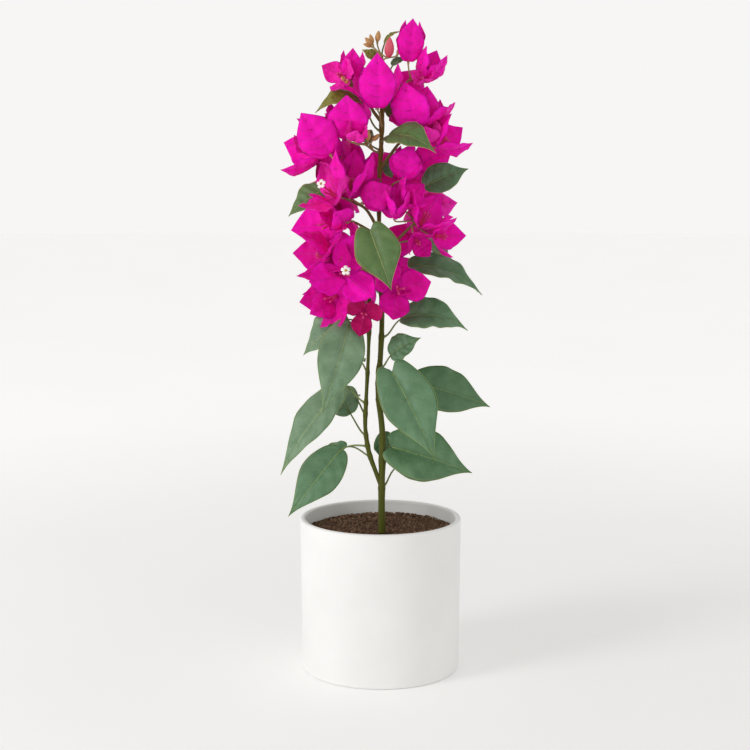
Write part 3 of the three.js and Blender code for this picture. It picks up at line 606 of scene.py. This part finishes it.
limbs = {}
add_limb("main_stem", MAIN_STEM_PATH, MAIN_STEM_RADII)
add_limb("side_stem", [fork_point("main_stem", SIDE_STEM_FORK), *SIDE_STEM_PATH], SIDE_STEM_RADII)
for row in BOUGHS:
    add_limb(row["name"], [fork_point(row["on"], row["at"]), *row["path"]], BOUGH_RADII)
names = dict(
    leaves=[row["name"] for row in LEAVES],
    sprays=[row["name"] for row in SPRAYS],
    boughs=[row["name"] for row in BOUGHS],
    stems=["main_stem", "side_stem"],
)

# ---------------- pot and soil


def rounded(*knots):
    """Points of a rounded corner of a profile."""
    return [tuple(p) for p in bezier_at(np.linspace(0, 1, 8)[:, None], *map(vec, knots))]


def make_pot(material):
    rim = POT_DIAMETER / 2
    foot = rim - POT_FOOT_SETBACK
    inside = rim - POT_WALL
    bend = POT_HEIGHT - POT_RIM_ROUND
    wall = [(lerp(foot, rim, k / 12), lerp(POT_FOOT_ROUND, bend, k / 12)) for k in range(1, 12)]
    profile = [(0, 0), (foot * 0.5, 0)]
    profile += rounded((foot - POT_FOOT_ROUND, 0), (foot, 0), (foot, POT_FOOT_ROUND))
    profile += wall
    profile += rounded((rim, bend), (rim, POT_HEIGHT), (rim - POT_WALL / 2, POT_HEIGHT))
    profile += rounded((rim - POT_WALL / 2, POT_HEIGHT), (inside, POT_HEIGHT), (inside, bend))[1:]
    profile += [(inside - POT_FOOT_SETBACK, POT_FLOOR), (inside * 0.5, POT_FLOOR), (0, POT_FLOOR)]
    pot = Surface()
    pot.add(*lathe(profile, POT_SIDES))
    pot.build("pot_body", [material], "pot", ["pot"])


def granule(centre, size, draw):
    """A small uneven lump of three rings of six points, stretched and turned at random."""
    turn = circle(6)
    rings = []
    for level, reach in ((-0.55, 0.8), (0.1, 1.0), (0.62, 0.72)):
        radii = reach * (0.8 + 0.4 * vec([draw() for _ in turn]))
        rings.append(np.stack([radii * np.cos(turn), radii * np.sin(turn), turn * 0 + level], -1))
    points, faces = closed((0, 0, -0.95), rings, (0, 0, 0.95))
    points = points * size * vec((0.7 + 0.9 * draw(), 0.7 + 0.4 * draw(), 0.75))
    spin, lean = draw() * 2 * math.pi, (draw() - 0.5) * 1.6
    c, s = math.cos(lean), math.sin(lean)
    points = points @ vec(((c, 0, s), (0, 1, 0), (-s, 0, c)))
    c, s = math.cos(spin), math.sin(spin)
    points = points @ vec(((c, s, 0), (-s, c, 0), (0, 0, 1)))
    return points + centre, faces


def make_soil(materials):
    """A bed of crumbly granules on a closed bed."""
    reach = POT_DIAMETER / 2 - POT_WALL - JOINT_GAP - 0.4
    soil = Surface()
    bed_top = SOIL_TOP - BED_BELOW_SOIL_TOP
    profile = [(0, POT_FLOOR + JOINT_GAP), (reach - 1.2, POT_FLOOR + JOINT_GAP)]
    profile += [(lerp(reach - 1.2, reach, k / 6), lerp(POT_FLOOR + 2, bed_top, k / 6)) for k in range(7)]
    profile += [(reach * 0.5, bed_top), (0, bed_top)]
    soil.add(*lathe(profile, SOIL_SIDES))
    draw = seeded(SOIL_SEED)
    golden = math.pi * (3 - math.sqrt(5))
    for k in range(GRANULE_COUNT):
        size = GRANULE_SIZE * (0.62 + 0.75 * draw() ** 2)
        out = (reach - size * 1.3) * math.sqrt((k + 0.5) / GRANULE_COUNT) + (draw() - 0.5) * 1.2
        turn = k * golden + (draw() - 0.5) * 0.3
        height = SOIL_TOP - 1.0 + (draw() - 0.5) * 1.3 + 0.5 * math.sin(out * 0.3 + turn * 2)
        place = vec((out * math.cos(turn), out * math.sin(turn), height))
        soil.add(*granule(place, size, draw), slot=k % 3 if draw() < 0.5 else 0)
    soil.build("soil_bed", materials, "soil", ["soil"])


# ---------------- stems, boughs and twigs


def limb_shell(name, knots, sides, spacing, relief):
    """A limb with its true taper, swollen where leaves and twigs leave it, with ridged bark."""
    curve = limbs[name]["curve"]
    count = int(curve.length / spacing)
    shares = np.linspace(0, 1, count)
    radii = radius_at(name, shares)
    for height in knots:
        place = curve.share_at_height(height)
        gap = (shares - place) * curve.length
        radii = radii + NODE_SWELL * np.exp(-((gap / NODE_REACH) ** 2))
        radii = radii + NODE_FOOT_SWELL * np.exp(-((gap / NODE_FOOT_REACH + 1) ** 2))
    turn = circle(sides)
    along = shares[:, None] * curve.length
    ridges = np.sin(turn * 5 + along * 0.05) + 0.6 * np.sin(turn * 9 - along * 0.11 + 1.3)
    grain = np.sin(along * 1.7 + 3 * np.sin(turn * 2)) * np.sin(turn * 3 + along * 0.35)
    rings = radii[:, None] * (1 + relief * (ridges + 0.7 * grain))
    rings[-1] *= 0.45
    return tube(curve.at(shares), rings, sides)


def make_stems(material):
    stems = Surface()
    for name in names["stems"]:
        rows = [*LEAVES, *SPRAYS, *BOUGHS]
        knots = sorted(row["at"] for row in rows if row["on"] == name and row["at"] != "tip")
        stems.add(*limb_shell(name, knots, sides=20, spacing=1.2, relief=0.025))
    stems.build("stems", [material], "stem", names["stems"])


def make_boughs(material):
    boughs = Surface()
    for row in BOUGHS:
        boughs.add(*limb_shell(row["name"], [], sides=14, spacing=0.8, relief=0.03))
    boughs.build("boughs", [material], "bough", names["boughs"])


def stalk_shell(foot, goal, arrival, draw, radius):
    """The source's stalk, swollen a little at both ends."""
    distance = np.linalg.norm(foot - goal)
    bend = vec((draw() - 0.5, draw() - 0.5, draw() - 0.2)) * distance * 0.3
    path = bezier(foot, lerp(foot, goal, 0.3) + bend, goal - arrival * distance * 0.25, goal)
    shares = np.linspace(0, 1, max(7, int(distance / 2)))
    radii = radius * lerp(1, 0.8, shares) * (1 + 0.5 * np.exp(-((shares / 0.05) ** 2)))
    radii = radii * (1 + 0.9 * np.exp(-(((1 - shares) * distance / 1.6) ** 2)))
    return tube(path.at(shares), radii, 8)


# ---------------- leaves


def petiole_path(row, along, face, rise):
    root = row["base"]
    start, heading = sprout(row["on"], row["at"], root)
    distance = np.linalg.norm(root - start)
    lifted = start + heading * distance * 0.35 + vec((0, 0, distance * 0.1))
    return bezier(start - heading * 0.6, lifted, root - along * distance * 0.3,
                  root + along * PETIOLE_SUNK + face * rise)


def make_leaf(row, index, leaves, ribs, petioles):
    form = dict(LEAF_FORM, arch=row["arch"], lobe=row.get("lobe", 0.03), wave=row.get("wave", 0.05))
    blade = Blade(row["base"], row["tip"], row["face"], row["width"], LEAF_OUTLINE, form, LEAF_SEED + index)
    points, faces = blade.shell(LEAF_STATIONS, LEAF_CELLS, LEAF_THICKNESS)
    sides = 2 * LEAF_CELLS
    # slot 0 is the upper side's skin, and 1 the underside's
    leaves.add(points, faces, [0 if 1 <= max(face) % sides <= LEAF_CELLS else 1 for face in faces])
    for way in (1, -1):
        for k, rib in enumerate(blade.ribs(*LEAF_RIB_RADII, way * LEAF_THICKNESS * LEAF_RIB_SEAT)):
            ribs.add(*rib, slot=0 if k else 1)
    for rim in blade.rims(LEAF_RIM_RADIUS):
        ribs.add(*rim, slot=1)
    share = PETIOLE_SUNK / blade.length
    rise = row["arch"] * blade.length * 4 * share * (1 - share)
    path = petiole_path(row, blade.along, blade.face, rise)
    shares = np.linspace(0, 1, 26)
    radii = PETIOLE_RADIUS * lerp(1.1, 0.7, shares) * (1 + 0.6 * np.exp(-((shares / 0.05) ** 2)))
    petioles.add(*tube(path.at(shares), radii, 10))


# The tones of each shade: three of the upper side and of the underside, from dark to pale, then those of
# the side veins, and of the midrib and margins.
LEAF_SHADES = dict(
    pale=dict(slot="leaf", upper=((86, 118, 86), (106, 136, 104), (130, 156, 124)),
              under=((106, 130, 100), (116, 140, 108), (130, 152, 120)),
              vein=(138, 166, 122), edge=(164, 184, 116)),
    green=dict(slot="leaf", upper=((68, 106, 70), (88, 126, 90), (112, 148, 112)),
               under=((98, 124, 92), (108, 134, 100), (124, 148, 114)),
               vein=(118, 150, 106), edge=(154, 176, 100)),
    dark=dict(slot="leaf", upper=((62, 98, 62), (78, 116, 78), (102, 138, 98)),
              under=((92, 116, 80), (102, 126, 88), (118, 140, 100)),
              vein=(108, 140, 94), edge=(146, 166, 96)),
    young=dict(slot="young_leaf", upper=((68, 98, 46), (82, 112, 58), (100, 126, 72)),
               under=((104, 112, 56), (114, 122, 64), (128, 134, 78)),
               vein=(108, 132, 76), edge=(176, 172, 112)),
    olive=dict(slot="young_leaf", upper=((98, 104, 26), (122, 120, 40), (146, 138, 60)),
               under=((112, 108, 48), (130, 124, 60), (146, 138, 76)),
               vein=(146, 138, 74), edge=(182, 168, 112)),
)


def make_leaves(petiole_skin):
    """The leaves by shade, with their ribs and rims, and their petioles."""
    petioles = Surface()
    for shade, look in LEAF_SHADES.items():
        leaves, ribs, rows = Surface(), Surface(), []
        for index, row in enumerate(LEAVES):
            if row["shade"] == shade:
                make_leaf(row, index, leaves, ribs, petioles)
                rows.append(row["name"])
        upper = leaf_skin(f"leaf_{shade}", *look["upper"])
        under = leaf_skin(f"leaf_{shade}_under", *look["under"], roughness=0.6)
        rib_skins = [rib_skin(f"vein_{shade}", look["vein"]), rib_skin(f"edge_{shade}", look["edge"])]
        leaves.build(f"leaves_{shade}", [upper, under], look["slot"], rows)
        ribs.build(f"leaf_ribs_{shade}", rib_skins, look["slot"], rows)
    petioles.build("petioles", [petiole_skin], "leaf", names["leaves"])


# ---------------- blossom


def bract_blades(spec, seed):
    """The three bracts of a bloom, by the source's rule, with their own creases and ruffles."""
    heart, size = spec["at"], spec["size"]
    axis, away, around = aim(spec["clock"], spec["front"])
    blades = []
    for k in range(3):
        turn = math.radians(spec["spin"] + 120 * k)
        out = away * math.cos(turn) + around * math.sin(turn)
        opened = math.radians(spec["open"])
        along = axis * math.cos(opened) + out * math.sin(opened)
        root, tip = heart + along * BRACT_ROOT_SETOFF, heart + along * size
        width = size * spec["width"]
        blades.append(Blade(root, tip, axis - out, width, BRACT_OUTLINE, BRACT_FORM, seed * 3 + k))
    return blades, heart, axis


def flower_tube(heart, heading, length, open_mouth):
    """A slender tube, swollen at its foot and narrow above it, with a pointed or an open end."""
    shares = np.linspace(0, 1, 14)
    radii = FLOWER_TUBE_RADIUS * (0.95 + 0.4 * np.exp(-(((shares - 0.22) / 0.16) ** 2)) - 0.25 * shares)
    radii = radii + FLOWER_TUBE_RADIUS * 0.35 * np.exp(-(((shares - 0.86) / 0.1) ** 2))
    radii[-1] *= 1.0 if open_mouth else 0.2
    radii[0] *= 0.5
    return tube(heart + heading * (shares * length)[:, None], radii, 10)


def star(centre, axis):
    """A white flower of five notched lobes, and its small throat."""
    turn = circle(60)
    swing = np.abs(np.cos(turn * STAR_LOBES / 2))
    lobes = swing**0.5 - 0.16 * swing**12
    first = unit(np.cross(axis, vec((0.3, 0.2, 1))))
    second = np.cross(axis, first)
    spokes = first * np.cos(turn)[:, None] + second * np.sin(turn)[:, None]
    rings = []
    for reach, height in ((0.5, -0.5), (1.0, 0.15), (1.02, 0.4), (0.6, 0.5), (0.24, 0.25)):
        edge = STAR_RADIUS * (0.42 + 0.58 * lobes * min(1, reach)) * reach
        rings.append(centre + axis * height + spokes * edge[:, None])
    return closed(centre - axis * 0.6, rings, centre + axis * 0.1)


def make_bloom(spec, seed, kit):
    """Three bracts, and the three flower tubes between them. In some blooms one tube is open."""
    blades, heart, axis = bract_blades(spec, seed)
    for blade in blades:
        kit[spec["shade"]].add(*blade.shell(BRACT_STATIONS, BRACT_CELLS, BRACT_THICKNESS))
        for rib in blade.ribs(*BRACT_RIB_RADII, rise=0, steps=8):
            kit["ribs"].add(*rib)
    for k, blade in enumerate(blades):
        opened = spec["flower"] and k == 0
        heading = axis if opened else unit(axis * 1.6 + blade.along * 0.8)
        length = FLOWER_TUBE_LENGTH if opened else CLOSED_TUBE_LENGTH * spec["size"] / BRACT_SIZE
        kit["tubes"].add(*flower_tube(heart, heading, length, opened))
        if opened:
            end = heart + axis * length
            kit["stars"].add(*star(end, unit(axis + FLOWER_NOD)))
            kit["throats"].add(*flower_tube(end + axis * 0.2, axis, 1.0, False))


def make_bud(spec, kit):
    """A closed bud: a ribbed spindle on its stalk."""
    axis, _, _ = aim(spec["clock"], spec["front"])
    size = spec["size"]
    shares = np.linspace(0, 1, 14)
    swell = size * 0.24 * np.sin(math.pi * shares**0.8) ** 0.8 + 0.15
    turn = circle(12)
    ribs = 1 + 0.12 * np.cos(turn * 3) + 0.06 * np.cos(turn * 6)
    points = spec["at"] + axis * ((shares * 1.08 - 0.04) * size)[:, None]
    kit["pink_buds" if size > PINK_BUD_SIZE else "buds"].add(*tube(points, swell[:, None] * ribs, 12))


def make_sprays(kit):
    """Every spray grows from its stem by the source's rule, with its seed."""
    bloom_count = 0
    for index, row in enumerate(SPRAYS):
        draw = seeded(SPRAY_SEED + index)
        hub = row["hub"]
        start, heading = sprout(row["on"], row["at"], hub)
        distance = np.linalg.norm(hub - start)
        knots = start, start + heading * distance * 0.4, hub
        path = bezier(*knots)
        shares = np.linspace(0, 1, 16)
        kit["twigs"].add(*tube(path.at(shares), TWIG_RADIUS * lerp(1.4, 1.0, shares), 10))
        heads = row["heads"]
        for k, spec in enumerate(heads):
            t = 1 - STALK_SPREAD * k / len(heads)
            foot = bezier_at(t, *knots)
            arrival = aim(spec["clock"], spec["front"])[0]
            kit["twigs"].add(*stalk_shell(foot, spec["at"], arrival, draw, TWIG_RADIUS))
            if "open" in spec:
                make_bloom(spec, bloom_count, kit)
                bloom_count += 1
            else:
                make_bud(spec, kit)


# ---------------- materials


def linear(*srgb):
    """A colour from 0 to 255 as it is seen, as the light values that Blender works with."""
    shares = [c / 255 for c in srgb]
    return tuple(c / 12.92 if c <= 0.04045 else ((c + 0.055) / 1.055) ** 2.4 for c in shares) + (1.0,)


BLACK, WHITE = (0, 0, 0), (255, 255, 255)


class Skin:
    """A procedural material that is built up on one Principled shader."""

    def __init__(self, name, roughness=0.5, **fixed):
        self.material = bpy.data.materials.new(name)
        self.material.use_nodes = True
        self.tree = self.material.node_tree
        self.shader = self.tree.nodes["Principled BSDF"]
        self.shader.inputs["Roughness"].default_value = roughness
        for socket, value in fixed.items():
            self.shader.inputs[socket.replace("_", " ")].default_value = value
        self.place = self.tree.nodes.new("ShaderNodeTexCoord").outputs["Object"]
        self.height = None

    def feed(self, socket, value):
        """Links a socket to another, or sets its value."""
        if isinstance(value, bpy.types.NodeSocket):
            self.tree.links.new(value, socket)
        else:
            socket.default_value = value

    def node(self, kind, **sockets):
        made = self.tree.nodes.new(kind)
        for name, value in sockets.items():
            self.feed(made.inputs[name.replace("_", " ")], value)
        return made

    def noise(self, scale, detail=4.0, roughness=0.55, stretch=(1, 1, 1)):
        """Noise from 0 to 1, with scale in patches a metre."""
        spread = self.node("ShaderNodeMapping", Vector=self.place, Scale=stretch)
        made = self.node("ShaderNodeTexNoise", Vector=spread.outputs["Vector"], Scale=scale, Detail=detail,
                         Roughness=roughness)
        return made.outputs["Fac"]

    def ramp(self, share, *stops):
        """Colours along a share, each as (place, colour from 0 to 255)."""
        made = self.node("ShaderNodeValToRGB", Fac=share)
        band = made.color_ramp
        for _ in stops[2:]:
            band.elements.new(0.5)
        for k, (place, colour) in enumerate(stops):
            band.elements[k].position = place
            band.elements[k].color = linear(*colour)
        return made.outputs["Color"]

    def mix(self, share, first, second):
        """A blend of two colours, each a socket or three values from 0 to 255."""
        made = self.tree.nodes.new("ShaderNodeMix")
        made.data_type = "RGBA"
        first, second = (linear(*c) if isinstance(c, tuple) else c for c in (first, second))
        for name, value in (("Factor", share), ("A", first), ("B", second)):
            self.feed([s for s in made.inputs if s.name == name and s.enabled][0], value)
        return [s for s in made.outputs if s.enabled][0]

    def span(self, value, low, high):
        """A share from 0 to 1 taken to the range from low to high."""
        made = self.node("ShaderNodeMapRange", Value=value, To_Min=low, To_Max=high)
        return made.outputs["Result"]

    def paint(self, colour):
        self.tree.links.new(colour, self.shader.inputs["Base Color"])

    def gloss(self, share, low, high):
        self.tree.links.new(self.span(share, low, high), self.shader.inputs["Roughness"])

    def bump(self, height, depth, strength=1.0):
        """Adds relief of that depth in metres on top of what is there."""
        made = self.node("ShaderNodeBump", Height=height, Distance=depth, Strength=strength)
        if self.height is not None:
            self.tree.links.new(self.height, made.inputs["Normal"])
        self.height = made.outputs["Normal"]
        self.tree.links.new(self.height, self.shader.inputs["Normal"])


def pot_skin():
    skin = Skin("white_ceramic", Specular_IOR_Level=0.4)
    cloud = skin.noise(14, 3)
    skin.paint(skin.ramp(cloud, (0.3, (236, 235, 234)), (0.7, (242, 241, 240))))
    skin.gloss(skin.noise(60, 4), 0.42, 0.6)
    skin.bump(skin.noise(420, 5), 0.00012)
    skin.bump(skin.noise(28, 2), 0.0006, 0.5)
    return skin.material


def soil_skin(name, dark, light):
    skin = Skin(name, 0.95)
    skin.paint(skin.ramp(skin.noise(700, 5, 0.7), (0.3, dark), (0.7, light)))
    skin.bump(skin.noise(1500, 4), 0.0004)
    return skin.material


def height_share(skin, low, high):
    """How far up a point is between two heights in millimetres, from 0 to 1."""
    parts = skin.node("ShaderNodeSeparateXYZ", Vector=skin.place)
    made = skin.node("ShaderNodeMapRange", Value=parts.outputs["Z"], From_Min=low * MM, From_Max=high * MM)
    return made.outputs["Result"]


def stem_skin():
    skin = Skin("green_bark", Specular_IOR_Level=0.25)
    streak = skin.noise(900, 5, 0.6, (1, 1, 0.06))
    patch = skin.noise(70, 4)
    low = skin.mix(streak, (56, 62, 4), (90, 94, 14))
    high = skin.mix(streak, (94, 78, 26), (128, 108, 48))
    base = skin.mix(height_share(skin, STEM_GREEN_TO, STEM_BROWN_FROM), low, high)
    spots = skin.ramp(skin.noise(420, 2), (0.66, BLACK), (0.78, WHITE))
    skin.paint(skin.mix(skin.mix(patch, BLACK, spots), base, (120, 108, 60)))
    skin.gloss(patch, 0.45, 0.7)
    skin.bump(streak, 0.0005)
    return skin.material


def bough_skin():
    skin = Skin("bough_bark", 0.6)
    streak = skin.noise(1100, 4, 0.6, (1, 1, 0.3))
    skin.paint(skin.mix(streak, (98, 86, 34), (126, 112, 56)))
    skin.bump(streak, 0.0003)
    return skin.material


def leaf_skin(name, dark, middle, pale, roughness=0.42):
    """A leaf's skin: cloudy green with fine cells and a soft waxy gloss."""
    skin = Skin(name, roughness, Specular_IOR_Level=0.45, Subsurface_Weight=0.08,
                Subsurface_Radius=(0.6, 1.0, 0.2), Subsurface_Scale=0.0012)
    cloud = skin.noise(55, 4, 0.6)
    fine = skin.noise(900, 5, 0.6)
    base = skin.ramp(cloud, (0.25, dark), (0.5, middle), (0.78, pale))
    skin.paint(skin.mix(skin.span(fine, 0.0, 0.3), base, pale))
    skin.gloss(fine, roughness - 0.08, roughness + 0.14)
    skin.bump(fine, 0.00035, 0.6)
    skin.bump(skin.noise(230, 3), 0.0006, 0.5)
    return skin.material


def bract_skin(name, dark, middle, pale):
    """A papery bract: bright colour in cloudy patches, fine crumples and a soft sheen."""
    skin = Skin(name, 0.62, Specular_IOR_Level=0.12, Subsurface_Weight=0.3,
                Subsurface_Radius=(1.0, 0.15, 0.6), Subsurface_Scale=0.0015, Sheen_Weight=0.03)
    cloud = skin.noise(90, 4, 0.6)
    fine = skin.noise(520, 5, 0.65)
    base = skin.ramp(cloud, (0.25, dark), (0.5, middle), (0.8, pale))
    skin.paint(skin.mix(skin.span(fine, 0.0, 0.35), base, pale))
    skin.gloss(fine, 0.55, 0.75)
    skin.bump(fine, 0.0005, 0.7)
    skin.bump(skin.noise(160, 3), 0.0012, 0.6)
    return skin.material


def plain_skin(name, dark, light, roughness=0.55, scale=400):
    """Small parts: two close tones in fine grain."""
    skin = Skin(name, roughness)
    grain = skin.noise(scale, 4)
    skin.paint(skin.mix(grain, dark, light))
    skin.bump(grain, 0.0003, 0.5)
    return skin.material


def rib_skin(name, tone):
    """A rib's skin: two tones close to the given one."""
    return plain_skin(name, tuple(c - 8 for c in tone), tuple(c + 10 for c in tone))


# ---------------- studio


def make_floor():
    """A wide pale floor with a painted glow, stronger further from the pot, which meets the pale background
    far behind the plant.
    """
    low, high = FLOOR_UNDERSIDE, FLOOR_TOP
    points, faces = lathe([(0, low), (FLOOR_RADIUS, low), (FLOOR_RADIUS, high), (0, high)], 96)
    mesh = bpy.data.meshes.new("floor")
    mesh.from_pydata((points * MM).tolist(), [], faces)
    skin = Skin("pale_floor_painted_glow", 0.8, Emission_Color=linear(248, 249, 250))
    skin.paint(skin.ramp(skin.noise(3, 3), (0.3, (246, 246, 245)), (0.7, (249, 249, 248))))
    # painted glow: the floor gives off light of its own, more strongly further away
    away = skin.node("ShaderNodeVectorMath", Vector=skin.place)
    away.operation = "LENGTH"
    glow = skin.node("ShaderNodeMapRange", Value=away.outputs["Value"], **FLOOR_GLOW)
    glow.interpolation_type = "SMOOTHSTEP"
    skin.tree.links.new(glow.outputs["Result"], skin.shader.inputs["Emission Strength"])
    mesh.materials.append(skin.material)
    add_object("floor", mesh)


def make_light(name, place, goal, size, power):
    data = bpy.data.lights.new(name, "AREA")
    data.shape = "DISK"
    data.size = size
    data.energy = power
    lamp = add_object(name, data)
    lamp.location = place
    lamp.rotation_euler = (Vector(goal) - Vector(place)).to_track_quat("-Z", "Y").to_euler()


def make_studio():
    """A pale sky that is darker overhead, and one soft light from the left."""
    world = bpy.data.worlds.new("studio")
    bpy.context.scene.world = world
    world.use_nodes = True
    nodes, links = world.node_tree.nodes, world.node_tree.links
    parts = nodes.new("ShaderNodeSeparateXYZ")
    links.new(nodes.new("ShaderNodeTexCoord").outputs["Generated"], parts.inputs["Vector"])
    band = nodes.new("ShaderNodeValToRGB")
    links.new(parts.outputs["Z"], band.inputs["Fac"])
    for k, (height, tone) in enumerate(SKY):
        band.color_ramp.elements[k].position = height
        band.color_ramp.elements[k].color = linear(*tone)
    links.new(band.outputs["Color"], nodes["Background"].inputs["Color"])
    make_light("key", place=(-1.9, -1.2, 1.0), goal=(0, 0, 0.3), size=0.9, power=17)
    bpy.context.scene.view_settings.view_transform = "Standard"


def make_camera():
    """The camera stands where the photograph was taken from."""
    data = bpy.data.cameras.new("camera")
    data.lens = CAMERA_LENS
    data.sensor_width = CAMERA_SENSOR
    camera = add_object("camera", data)
    camera.location = CAMERA_PLACE
    camera.rotation_euler = (math.radians(90 - CAMERA_DROP), 0, 0)
    bpy.context.scene.camera = camera


# ---------------- the whole plant


def make_plant():
    make_pot(pot_skin())
    make_soil([
        soil_skin("soil_dark", (72, 48, 32), (122, 90, 66)),
        soil_skin("soil_mid", (92, 64, 44), (144, 110, 82)),
        soil_skin("soil_pale", (108, 82, 62), (156, 126, 100)),
    ])
    make_stems(stem_skin())
    make_boughs(bough_skin())
    make_leaves(plain_skin("petiole_green", (104, 122, 60), (128, 142, 82)))
    skins = dict(
        bright=bract_skin("bract_bright", (220, 0, 146), (240, 0, 170), (252, 18, 194)),
        # painted shade in part: the deep bracts are a darker copy of the bright ones, partly their own
        # deeper tone
        deep_with_painted_shade=bract_skin("bract_deep_with_painted_shade", (190, 0, 124), (216, 0, 148), (238, 6, 172)),
        # painted shade in part: the dark bracts are a still darker copy of the bright ones, partly their own
        # dark tone
        dark=bract_skin("bract_dark_with_painted_shade", (146, 4, 72), (172, 6, 88), (196, 16, 108)),
        soft=bract_skin("bract_soft", (222, 8, 146), (240, 28, 168), (252, 60, 194)),
        ribs=plain_skin("bract_rib", (186, 0, 110), (206, 4, 130), 0.6),
        tubes=plain_skin("flower_tube", (196, 28, 110), (220, 72, 132)),
        stars=plain_skin("white_petal", (246, 243, 238), (252, 250, 246)),
        throats=plain_skin("flower_throat", (168, 120, 40), (206, 160, 70)),
        buds=plain_skin("tan_bud", (168, 122, 70), (206, 158, 98)),
        pink_buds=plain_skin("pink_bud", (200, 66, 96), (226, 104, 118)),
        twigs=plain_skin("twig_bark", (136, 120, 64), (170, 152, 98)),
    )
    kit = {name: Surface() for name in skins}
    make_sprays(kit)
    slots = dict(twigs="bough", buds="buds", pink_buds="buds")
    for name, surface in kit.items():
        piece = name if name in slots else f"blossom_{name}"
        surface.build(piece, [skins[name]], slots.get(name, "bracts"), names["sprays"])


make_camera()
make_studio()
make_floor()
make_plant()
